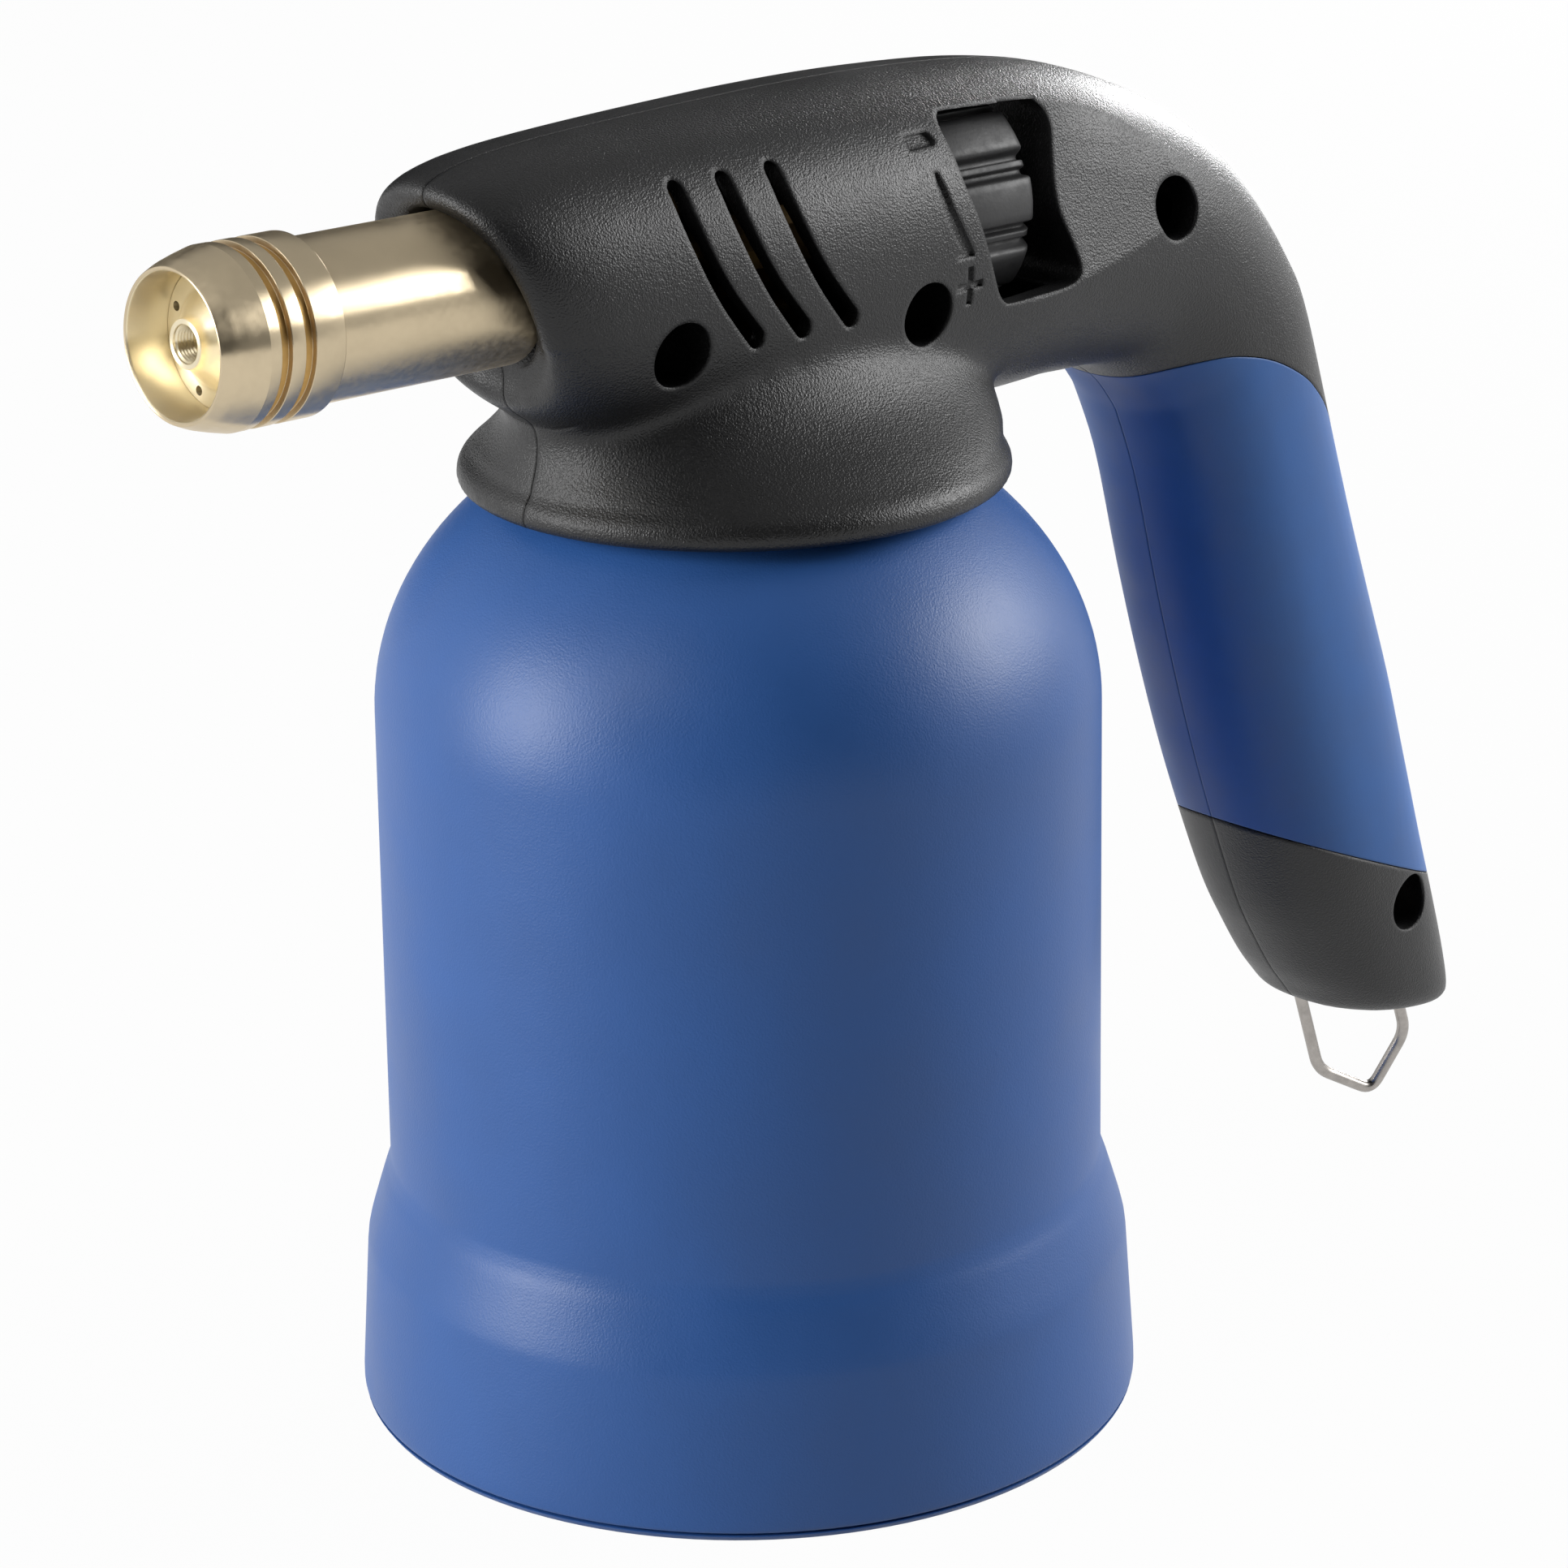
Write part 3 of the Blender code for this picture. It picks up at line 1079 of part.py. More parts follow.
def make_burner(brass):
    """Jet, mixing pipe, tube, head and flame holder along the burner's axis."""
    jet_back = -VALVE_FRONT + JET_LENGTH / 2 - GAP
    jet_front = jet_back - JET_LENGTH
    new_object("gas_jet", turned([
        (JET_HOLE, jet_back), (JET_RADIUS, jet_back), (JET_RADIUS, jet_front + JET_POINT),
        (JET_RADIUS / 2, jet_front), (JET_HOLE, jet_front),
    ], TINY_SEGMENTS, "X", BURNER_POINT), brass)
    pipe_front = -TUBE_START - TUBE_END_WALL - MIXING_PAST
    pipe = turned([
        (MIXING_BORE, -VALVE_FRONT - GAP), (MIXING_RADIUS, -VALVE_FRONT - GAP),
        (MIXING_RADIUS, pipe_front), (MIXING_BORE, pipe_front),
    ], SMALL_SEGMENTS, "X", BURNER_POINT)
    air_place = BURNER_POINT - AIR_HOLE_PLACE * BURNER_AXIS
    reach = MIXING_RADIUS + OVERRUN
    new_object("mixing_pipe", cut(
        pipe,
        rod(AIR_HOLE_RADIUS, -reach, reach, TINY_SEGMENTS, "Y", air_place),
        rod(AIR_HOLE_RADIUS, -reach, reach, TINY_SEGMENTS, "Z", air_place),
    ), brass)
    bore = TUBE_RADIUS - TUBE_WALL
    shoulder = -HEAD_START + GAP
    spigot_end = -HEAD_START - SPIGOT_LENGTH
    tube = turned([
        (MIXING_RADIUS + GAP, -TUBE_START), (TUBE_RADIUS, -TUBE_START), (TUBE_RADIUS, shoulder),
        (SPIGOT_RADIUS, shoulder), (SPIGOT_RADIUS, spigot_end), (SPIGOT_RADIUS - TUBE_WALL, spigot_end),
        (SPIGOT_RADIUS - TUBE_WALL, shoulder), (bore, shoulder + TUBE_WALL),
        (bore, -TUBE_START - TUBE_END_WALL), (MIXING_RADIUS + GAP, -TUBE_START - TUBE_END_WALL),
    ], MEDIUM_SEGMENTS, "X", BURNER_POINT)
    new_object("burner_tube", tube, brass)
    profile = [(SPIGOT_RADIUS + GAP, -HEAD_START), (HEAD_RADIUS, -HEAD_START)]
    for index in range(GROOVE_COUNT):
        place = HEAD_START + GROOVE_START + index * GROOVE_PITCH
        profile.extend([
            (HEAD_RADIUS, -place), (HEAD_RADIUS - GROOVE_DEPTH, -place),
            (HEAD_RADIUS - GROOVE_DEPTH, -place - GROOVE_WIDTH), (HEAD_RADIUS, -place - GROOVE_WIDTH),
        ])
    swell = (HEAD_CHAMFER_START + HEAD_REACH) / 2
    profile.extend([
        (HEAD_RADIUS, -HEAD_CHAMFER_START), (SWELL_RADIUS, -swell),
        (RIM_RADIUS, -HEAD_REACH), (RIM_RADIUS - RIM_WALL, -HEAD_REACH), (CUP_BORE, -swell),
        (CUP_BORE, -CUP_FLOOR), (HEAD_THROAT, -CUP_FLOOR), (HEAD_THROAT, spigot_end - GAP),
        (SPIGOT_RADIUS + GAP, spigot_end - GAP),
    ])
    new_object("burner_head", turned(profile, MEDIUM_SEGMENTS, "X", BURNER_POINT), brass)
    disc_back = -CUP_FLOOR - GAP
    disc_front = disc_back - FLAME_DISC
    nozzle = -HEAD_REACH + FLAME_NOZZLE_SET_BACK
    bore_end = nozzle + FLAME_BORE_DEPTH
    holder = turned([
        (FLAME_THROAT, disc_back), (CUP_BORE - GAP, disc_back), (CUP_BORE - GAP, disc_front),
        (FLAME_CONE_FOOT, disc_front), (FLAME_NOZZLE_RADIUS, nozzle + RIM_WALL),
        (FLAME_NOZZLE_RADIUS, nozzle), (FLAME_BORE, nozzle), (FLAME_BORE, bore_end), (FLAME_THROAT, bore_end),
    ], SMALL_SEGMENTS, "X", BURNER_POINT)
    holes = []
    for index in range(FLAME_HOLES):
        angle = math.tau * (index + 1 / 2) / FLAME_HOLES
        ring = (FLAME_CONE_FOOT + CUP_BORE) / 2
        place = BURNER_POINT + Vector((0.0, ring * math.cos(angle), ring * math.sin(angle)))
        holes.append(rod(FLAME_HOLE_RADIUS, disc_front - OVERRUN, disc_back + OVERRUN, HEX_SIDES, "X", place))
    new_object("flame_holder", cut(holder, *holes), brass)


def make_screws(material):
    """One pan-head screw in each recess."""
    for number, (x, z) in enumerate(SCREW_PLACES, start=1):
        seat = -SCREW_SHELF - GAP
        profile = [
            (0.0, seat - SCREW_HEAD), (SCREW_CROWN_RADIUS, seat - SCREW_HEAD),
            (SCREW_HEAD_RADIUS, seat - SCREW_HEAD / 2), (SCREW_HEAD_RADIUS, seat), (SCREW_RADIUS, seat),
            (SCREW_RADIUS, seat + SCREW_LENGTH - SCREW_RADIUS), (0.0, seat + SCREW_LENGTH),
        ]
        new_object("housing_screw_%d" % number, turned(profile, TINY_SEGMENTS, "Y", (x, 0.0, z)), material)


def hook_path():
    """The wire's centre line, from one foot round the loop to the other."""
    half = HOOK_WIDTH / 2
    foot = HOOK_GROOVE_PLACE
    corners = [
        (half + HOOK_FOOT, -foot), (half, -foot), (half, 0.0), (0.0, HOOK_POINT),
        (-half, 0.0), (-half, -foot), (-half - HOOK_FOOT, -foot),
    ]
    points = [Vector(corners[0])]
    for before, corner, after in zip(corners, corners[1:], corners[2:]):
        before, corner, after = Vector(before), Vector(corner), Vector(after)
        into = (before - corner).normalized() * HOOK_BEND
        out = (after - corner).normalized() * HOOK_BEND
        for step in range(HOOK_BEND_STEPS + 1):
            t = step / HOOK_BEND_STEPS
            points.append(corner + into * (1 - t) ** 2 + out * t ** 2)
    points.append(Vector(corners[-1]))
    return [side * HOOK_SIDE + down * HANDLE_AXIS for side, down in points]


def make_hook(material):
    """The wire hook, a bent round wire whose feet turn in the handle's groove."""
    curve = bpy.data.curves.new("hook_wire", "CURVE")
    curve.dimensions = "3D"
    curve.bevel_depth = WIRE_RADIUS
    curve.bevel_resolution = 2
    curve.use_fill_caps = True
    path = hook_path()
    line = curve.splines.new("POLY")
    line.points.add(len(path) - 1)
    for point, place in zip(line.points, path):
        point.co = (*place, 1.0)
    curve.materials.append(material)
    made = bpy.data.objects.new("hanging_hook", curve)
    made.location = HOOK_CENTRE
    bpy.context.scene.collection.objects.link(made)


def main():
    clear_scene()
    blue = make_material("blue_paint")
    grip_blue = make_material("blue_soft_grip")
    black = make_material("black_plastic")
    brass = make_material("brass")
    steel = make_material("steel")
    rubber = make_material("rubber")
    can = make_material("can_paint")
    make_bell(blue)
    make_base_cap(make_material("blue_plastic"))
    make_cartridge(can)
    make_gas_way(brass, steel, rubber)
    make_valve(brass, steel, rubber)
    make_knob(black)
    make_burner(brass)
    make_shell(black, grip_blue)
    make_screws(steel)
    make_hook(steel)


main()
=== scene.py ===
"""Finish of a hand blowlamp: its shown pieces, their materials, the lamps and the camera.

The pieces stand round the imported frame, in metres, with +Z up and the burner pointing to -X.
"""

import math

import bpy
import numpy as np
from mathutils import Matrix, Vector


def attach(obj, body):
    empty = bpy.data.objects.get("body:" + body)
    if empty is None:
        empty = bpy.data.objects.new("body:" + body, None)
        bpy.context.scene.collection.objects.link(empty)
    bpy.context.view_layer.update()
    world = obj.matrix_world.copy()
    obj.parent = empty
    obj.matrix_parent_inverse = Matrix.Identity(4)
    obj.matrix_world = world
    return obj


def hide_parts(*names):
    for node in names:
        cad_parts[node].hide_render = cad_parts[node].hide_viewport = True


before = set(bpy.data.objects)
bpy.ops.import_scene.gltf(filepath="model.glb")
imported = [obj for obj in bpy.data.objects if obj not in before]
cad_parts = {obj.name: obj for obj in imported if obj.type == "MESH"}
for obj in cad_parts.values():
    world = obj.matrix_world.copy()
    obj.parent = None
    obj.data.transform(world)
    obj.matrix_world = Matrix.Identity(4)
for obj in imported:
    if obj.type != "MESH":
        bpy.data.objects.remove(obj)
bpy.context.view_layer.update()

bl_info = {
    "name": "Blowlamp Finish",
    "version": (1, 0, 0),
    "blender": (4, 5, 0),
    "location": "3D View > Sidebar > Blowlamp",
    "description": "Makes the shown pieces, materials and stage of a hand blowlamp",
    "category": "Object",
}

MM = 0.001
QUARTER = math.radians(90.0)
CLOSE = 0.002 * MM  # points nearer to each other than this are merged

# The burner's and the handle's axes and the hook's plane, in metres
TILT = math.radians(1.5)
BURNER = Matrix.Translation((0.0, 0.0, 156.5 * MM)) @ Matrix.Rotation(QUARTER + TILT, 4, "Y")
BURNER_AXIS = Vector((math.cos(TILT), 0.0, -math.sin(TILT)))
HANDLE_AXIS = Vector((0.3173, 0.0, -0.9483))
HANDLE_BACK = Vector((0.9483, 0.0, 0.3173))
HANDLE_TOP = Vector((0.08959, 0.0, 0.11499))
HOOK_SIDE = Vector((0.8663, -0.4067, 0.2899))
HOOK_CENTRE = Vector((0.125787, 0.0, 0.009372))
HOOK_REACH = 111.6  # millimetres from the handle's top down to the hook's centre
HOOK_FEET = 19.0  # millimetres from there up to its feet

# Shell's rings in millimetres: X, Z, lean in degrees, half depth, half width
HEAD_RINGS = (
    (-41.9, 156.3, 22.7, 12.10, 11.30), (-43.3, 156.2, 22.7, 13.20, 12.25),
    (-43.9, 156.2, 22.7, 14.40, 13.30), (-43.6, 156.2, 22.5, 15.65, 14.45),
    (-42.0, 156.0, 21.8, 17.00, 15.70), (-38.6, 155.7, 19.4, 18.30, 16.95),
    (-33.2, 155.3, 14.0, 19.20, 18.00), (-23.4, 154.6, 5.7, 20.05, 19.07),
    (-8.8, 154.1, 0.0, 20.75, 20.09), (6.0, 153.6, 0.0, 21.34, 20.50),
    (21.5, 152.8, 0.0, 21.78, 20.40), (36.8, 151.5, -3.7, 22.00, 19.78),
)
BEND_RINGS = (
    (46.0, 150.7, -7.5, 21.45, 19.17), (52.3, 149.8, -12.8, 20.76, 18.70),
    (59.6, 147.9, -20.1, 19.80, 18.14), (65.4, 145.9, -26.8, 18.73, 17.76),
    (70.6, 143.4, -33.6, 17.71, 17.43), (75.0, 140.0, -40.5, 17.00, 17.10),
    (78.9, 136.1, -47.2, 16.50, 16.81), (82.7, 131.1, -54.5, 16.26, 16.52),
    (85.2, 126.8, -60.0, 16.17, 16.30),
)
HANDLE_RINGS = (
    (89.6, 115.0, -71.5, 15.88, 15.64), (94.7, 97.7, -71.5, 16.30, 15.80),
    (99.3, 83.3, -71.5, 16.63, 15.96), (103.9, 69.9, -71.5, 16.80, 15.96),
    (108.2, 57.5, -71.5, 16.46, 15.64), (112.9, 44.6, -77.4, 16.04, 15.09),
    (116.7, 35.6, -85.0, 15.62, 14.62), (120.0, 28.0, -92.6, 15.29, 14.14),
    (122.2, 23.1, -98.5, 14.87, 13.59), (123.2, 20.9, -98.5, 13.94, 12.56),
    (123.7, 19.9, -98.5, 12.52, 10.90),
)
SHELL_RINGS = HEAD_RINGS + BEND_RINGS + HANDLE_RINGS
SHELL_POWER = 2.3  # exponent of the rings' squared ovals
SKIN_INSET = 0.08  # millimetres from the rings in to the shown skin

# Neck's rings in millimetres: height, shift towards the handle, half length, half width;
# and its hollow as radius and height
NECK_RINGS = (
    (125.4, 0.0, 34.4, 34.4), (126.0, 0.0, 35.2, 35.2), (127.2, 0.0, 35.5, 35.5),
    (128.7, 0.0, 35.0, 35.0), (129.8, 0.0, 34.0, 34.0), (130.7, 0.8, 34.8, 32.8),
    (132.3, 1.5, 34.9, 30.8), (134.9, 2.1, 35.0, 27.4), (137.9, 2.2, 35.0, 23.9),
    (141.4, 2.2, 35.0, 21.2), (144.8, 2.2, 35.0, 19.4),
)
NECK_ROOM = (
    (0.0, 120.0), (31.4, 120.0), (31.4, 125.4), (29.8, 128.6), (24.9, 131.4), (16.3, 133.7),
    (16.3, 142.9), (0.0, 142.9),
)

# Seen from the side, in millimetres: window, a vent's middle line, screws, grips, marks
WINDOW = (
    (23.5, 170.4), (22.7, 169.7), (22.3, 168.1), (22.5, 165.4), (22.9, 162.1), (24.15, 158.4),
    (25.6, 154.0), (27.2, 149.4), (28.3, 147.1), (29.6, 145.9), (31.2, 145.6), (37.7, 145.6),
    (41.9, 145.8), (43.9, 146.5), (44.6, 147.7), (44.4, 149.5), (43.7, 152.0), (42.9, 154.4),
    (42.6, 156.4), (42.7, 158.8), (43.1, 161.2), (43.6, 163.7), (43.9, 165.7), (43.5, 167.5),
    (42.3, 168.9), (40.7, 169.5), (32.5, 170.1), (24.9, 170.6),
)
VENT_LINE = (
    (0.0, 168.4), (0.05, 165.6), (0.75, 162.4), (2.2, 158.7), (4.3, 155.0), (6.6, 151.9),
    (8.8, 149.3),
)
VENT_STARTS = (-22.3, -14.9, -7.1)
VENT_WIDTH = 2.6
SCREWS = ((-24.7, 149.1), (15.3, 147.1), (64.0, 152.0), (119.0, 38.8))
POST_REACHES = (16.5, 17.8)
GRIP_EDGE = (
    (56.0, 122.3), (63.6, 124.8), (68.5, 127.95), (74.7, 129.0), (80.0, 128.4), (85.4, 126.7),
    (91.6, 123.5), (95.6, 120.6), (100.5, 116.0), (105.8, 108.8), (111.2, 100.4), (118.3, 88.7),
    (127.2, 74.4),
)
GRIP_FOOT = ((145.0, 74.4), (145.0, 33.0), (56.0, 70.5))
MINUS = ((15.3, 168.7), (15.6, 169.0), (19.8, 169.0), (20.5, 167.9), (20.0, 167.4), (15.5, 167.4))
WEDGE = (
    (18.1, 164.5), (18.0, 162.9), (18.25, 160.4), (19.2, 157.4), (20.6, 155.1), (21.2, 154.15),
    (20.1, 154.0), (20.2, 153.4), (23.15, 153.35), (23.15, 153.8), (21.7, 156.5), (20.05, 160.1),
    (19.3, 162.7), (18.7, 164.5),
)
PLUS_CENTRE = (22.45, 149.6)
PLUS_BARS = ((0.0, 4.6), (QUARTER, 5.0))
PLUS_HALF_WIDTH = 0.5

# The burner head's grooves in millimetres along the burner's axis, and their walls' brassy edge
GROOVES = (-74.9, -78.4)
GROOVE_WIDTH = 1.5
GROOVE_EDGE = 0.05

# The knob: its start along the burner's axis, one lobe as turn in degrees and radius, and its
# length as distance along and share of the full size
KNOB_START = 24.5
LOBE = (
    (-8.2, 15.5), (-7.2, 15.3), (-6.4, 14.7), (-5.6, 14.05), (-4.4, 13.8), (-2.6, 13.8),
    (-2.0, 14.5), (-1.4, 14.8), (1.4, 14.8), (2.0, 14.5), (2.6, 13.8), (4.4, 13.8), (5.6, 14.05),
    (6.4, 14.7), (7.2, 15.3), (8.2, 15.5), (11.5, 15.5), (15.0, 15.5), (18.0, 15.5),
    (21.0, 15.5), (24.5, 15.5),
)
FIRST_GROOVE = 25.0
KNOB_ENDS = (
    (0.0, 0.93), (0.25, 0.965), (0.7, 0.99), (1.3, 1.0), (13.4, 1.0), (14.2, 0.985), (14.8, 0.95),
    (15.2, 0.90),
)

# Lamps in metres and watts: name, azimuth, elevation, distance, size, power
LAMP_TARGET = Vector((0.03, 0.0, 0.095))
LAMPS = (
    ("left_softbox", -110.0, 12.0, 1.0, (0.4, 0.5), 8.0),
    ("upper_softbox", -82.0, 36.0, 1.1, (0.4, 0.3), 1.3),
    ("right_softbox", 58.0, 24.0, 1.2, (0.8, 0.5), 13.0),
    ("bend_softbox", 113.0, 13.0, 1.2, (0.3, 0.3), 8.5),
)

# Cards that only reflections show, in metres: name, direction, distance, size, brightness
CARD_CENTRE = Vector((0.03, 0.0, 0.1))
CARDS = (
    ("front_card", (-0.675, -0.738, 0.25), 1.35, (5.0, 3.4), 0.03),
    ("back_card", (0.60, 0.78, 0.12), 1.5, (2.4, 1.6), 0.03),
    ("top_card", (0.05, 0.05, 1.0), 1.5, (3.6, 3.6), 0.45),
)
WORLD_LIGHT = 0.04  # the white background's strength as a light
FLOOR_COLOUR = (0.35, 0.35, 0.35)
FLOOR_WHITE = 0.975  # the share of the floor's look that is plain white

# The camera's turns and place, its way round the blowlamp, and the photograph's frame
YAW, PITCH, ROLL = 0.0089, 0.3408, -0.0136
CAMERA_PLACE = (0.0, -0.6472, 0.3129)
CAMERA_AZIMUTH = math.radians(-42.45)
PHOTO_WIDTH = 1932
FOCAL_PIXELS = 6490
SENSOR_WIDTH = 36.0

COLOUR = {"subtype": "COLOR", "size": 3, "min": 0.0, "max": 1.0}


class BlowlampSizes(bpy.types.PropertyGroup):
    """Sizes of the shown pieces."""

    round_steps: bpy.props.IntProperty(
        name="Round steps", description="Faces round a turned piece", default=128, min=24, max=256)
    shell_cell: bpy.props.FloatProperty(
        name="Shell cell", description="Edge length of the moulded shell's faces",
        default=0.7 * MM, min=0.4 * MM, max=2.0 * MM, unit="LENGTH")
    parting: bpy.props.FloatProperty(
        name="Parting gap", description="Gap between the shell's two halves", default=0.12 * MM,
        min=0.05 * MM, max=1.0 * MM, unit="LENGTH")
    mark_depth: bpy.props.FloatProperty(
        name="Mark depth", description="Depth of the marks beside the knob", default=0.55 * MM,
        min=0.1 * MM, max=1.0 * MM, unit="LENGTH")
    lobes: bpy.props.IntProperty(
        name="Knob lobes", description="Lobes round the regulator knob", default=10, min=4, max=20)
    wire: bpy.props.FloatProperty(
        name="Hook wire", description="Diameter of the hanging hook's wire", default=1.8 * MM,
        min=1.0 * MM, max=3.0 * MM, unit="LENGTH")


class BlowlampColours(bpy.types.PropertyGroup):
    """Colours of the finishes."""

    paint: bpy.props.FloatVectorProperty(
        name="Bell paint", description="Enamel of the bell", default=(0.028, 0.110, 0.362),
        **COLOUR)
    grip: bpy.props.FloatVectorProperty(
        name="Soft grip", description="Rubber let into the handle",
        default=(0.032, 0.125, 0.380), **COLOUR)
    plastic: bpy.props.FloatVectorProperty(
        name="Shell plastic", description="Grained plastic of the shell",
        default=(0.008, 0.008, 0.0085), **COLOUR)
    brass: bpy.props.FloatVectorProperty(
        name="Burner brass", description="Pale plated brass of the burner",
        default=(0.640, 0.530, 0.360), **COLOUR)
    gold: bpy.props.FloatVectorProperty(
        name="Bare brass", description="Bare brass in the grooves",
        default=(0.640, 0.410, 0.150), **COLOUR)
    cup: bpy.props.FloatVectorProperty(
        name="Cup brass", description="Pale brass in the cup", default=(0.880, 0.780, 0.560),
        **COLOUR)
    steel: bpy.props.FloatVectorProperty(
        name="Zinc plate", description="Plated steel of screws, nuts and the hook",
        default=(0.400, 0.375, 0.350), **COLOUR)


def clear_selection():
    """Leave object mode with nothing selected, as an operator acts on all that is selected."""
    if bpy.context.object and bpy.context.object.mode != "OBJECT":
        bpy.ops.object.mode_set(mode="OBJECT")
    bpy.ops.object.select_all(action="DESELECT")


def take(piece):
    """Make one piece the selected and active one."""
    clear_selection()
    piece.select_set(True)
    bpy.context.view_layer.objects.active = piece


def edit(piece):
    """Open a piece in edit mode with all of it selected."""
    take(piece)
    bpy.ops.object.mode_set(mode="EDIT")
    bpy.ops.mesh.select_all(action="SELECT")


def close_edit():
    """Leave edit mode."""
    bpy.ops.object.mode_set(mode="OBJECT")


def close_solid():
    """Turn the normals of the open piece outwards and leave edit mode."""
    bpy.ops.mesh.select_all(action="SELECT")
    bpy.ops.mesh.normals_make_consistent(inside=False)
    close_edit()


def extrude(step):
    """Extrude what is selected by a step in metres."""
    bpy.ops.mesh.extrude_region_move(TRANSFORM_OT_translate={"value": step})


def draw_out(shares, centre):
    """Scale what is selected about a centre."""
    bpy.ops.transform.resize(value=shares, center_override=centre)


def turn_over(degrees, centre):
    """Turn what is selected about a centre, with its top towards +X."""
    bpy.ops.transform.rotate(
        value=math.radians(degrees), orient_axis="Y", center_override=centre)


def extrude_filled(step):
    """Fill the traced loop, extrude it by a step and close the solid."""
    bpy.ops.mesh.edge_face_add()
    bpy.ops.mesh.select_all(action="SELECT")
    extrude(step)
    close_solid()


def named(name):
    """Name the piece that an add operator has just made, with its place moved into its mesh."""
    piece = bpy.context.object
    piece.name = name
    piece.data.name = name
    bpy.ops.object.transform_apply(location=True, rotation=True, scale=True)
    return piece


def lay(piece, matrix):
    """Turn and move a piece's mesh, and leave its object at the origin."""
    take(piece)
    piece.matrix_world = matrix
    bpy.ops.object.transform_apply(location=True, rotation=True, scale=True)
    return piece


def apply_step(piece, kind, **settings):
    """Add a modifier with its settings and apply it."""
    step = piece.modifiers.new(kind.lower(), kind)
    for key, value in settings.items():
        setattr(step, key, value)
    take(piece)
    bpy.ops.object.modifier_apply(modifier=step.name)
    return piece


def combine(piece, tools, operation):
    """Join, cut or intersect a piece with tools, which are used up."""
    for tool in tools:
        apply_step(piece, "BOOLEAN", operation=operation, solver="MANIFOLD", object=tool)
        bpy.data.objects.remove(tool)
    return piece


def cut(piece, *tools):
    return combine(piece, tools, "DIFFERENCE")


def join(piece, *tools):
    return combine(piece, tools, "UNION")


def keep(piece, *tools):
    return combine(piece, tools, "INTERSECT")


def copied(piece, name):
    """A second object with its own mesh."""
    take(piece)
    bpy.ops.object.duplicate()
    made = bpy.context.object
    made.name = name
    made.data.name = name
    return made


def bent(corners, steps=4):
    """Round each corner of a path by its bend, given as the last number of each point."""
    path = []
    last = len(corners) - 1
    for index, corner in enumerate(corners):
        here = Vector(corner[:-1])
        bend = corner[-1]
        if bend == 0 or index in (0, last):
            path.append(tuple(here))
            continue
        into = Vector(corners[index - 1][:-1]) - here
        out = Vector(corners[index + 1][:-1]) - here
        into = into.normalized() * min(bend, into.length * 0.48)
        out = out.normalized() * min(bend, out.length * 0.48)
        for step in range(steps + 1):
            t = step / steps
            path.append(tuple(here + into * (1 - t) ** 2 + out * t ** 2))
    return path


def blended(stations, steps, closed=False):
    """Carry a smooth curve through stations, with the same number of steps in each span."""
    count = len(stations)
    out = []
    for index in range(count if closed else count - 1):
        places = range(index - 1, index + 3)
        four = [stations[i % count if closed else min(max(i, 0), count - 1)] for i in places]
        for step in range(steps):
            t = step / steps
            out.append(tuple(
                (2 * b + (c - a) * t + (2 * a - 5 * b + 4 * c - d) * t ** 2
                 + (3 * b - a - 3 * c + d) * t ** 3) / 2
                for a, b, c, d in zip(*four)
            ))
    if not closed:
        out.append(tuple(stations[-1]))
    return out


def trace(name, points):
    """Draw a plane together to one point and extrude it along a path; edit mode stays open."""
    clear_selection()
    bpy.ops.mesh.primitive_plane_add(size=MM, location=points[0])
    piece = named(name)
    edit(piece)
    bpy.ops.mesh.merge(type="CENTER")
    for before, after in zip(points, points[1:]):
        step = Vector(after) - Vector(before)
        bpy.ops.mesh.extrude_vertices_move(TRANSFORM_OT_translate={"value": step})
    bpy.ops.mesh.select_all(action="SELECT")
    return piece


def lathe(name, corners, steps, closed=True):
    """Spin an outline of (radius, along, bend) corners in millimetres about Z."""
    outline = bent([(radius * MM, along * MM, bend * MM) for radius, along, bend in corners])
    if closed:
        outline.append(outline[0])
    piece = trace(name, [(radius, 0.0, along) for radius, along in outline])
    bpy.ops.mesh.spin(steps=steps, angle=math.tau, center=(0.0, 0.0, 0.0), axis=(0.0, 0.0, 1.0))
    bpy.ops.mesh.select_all(action="SELECT")
    bpy.ops.mesh.remove_doubles(threshold=CLOSE)
    close_solid()
    return piece


def side_prism(name, outline, side, near, far):
    """Extrude an outline of (x, z) points through one side of the shell, all in millimetres."""
    low, high = (reach * MM for reach in sorted((side * near, side * far)))
    piece = trace(name, [(x * MM, low, z * MM) for x, z in outline])
    extrude_filled((0.0, high - low, 0.0))
    return piece


def rod(name, radius, start, end, steps, along="Z", place=(0.0, 0.0, 0.0)):
    """A cylinder of millimetre sizes along Z, Y or the burner's axis."""
    clear_selection()
    bpy.ops.mesh.primitive_cylinder_add(
        vertices=steps, radius=radius * MM, depth=(end - start) * MM,
        location=(0.0, 0.0, (start + end) / 2 * MM))
    piece = named(name)
    if along == "burner":
        return lay(piece, BURNER)
    turn = Matrix.Rotation(-QUARTER if along == "Y" else 0.0, 4, "X")
    return lay(piece, Matrix.Translation(Vector(place) * MM) @ turn)


def block(name, low, high):
    """A cube drawn out between two corners in millimetres."""
    clear_selection()
    low, high = Vector(low), Vector(high)
    bpy.ops.mesh.primitive_cube_add(
        size=1.0, location=(low + high) / 2 * MM, scale=(high - low) * MM)
    return named(name)


def ring_places(count, radius):
    """Turns and places in millimetres of a ring of features about Z."""
    turns = [math.tau * (index + 0.5) / count for index in range(count)]
    return [(turn, (radius * math.cos(turn), radius * math.sin(turn), 0.0)) for turn in turns]


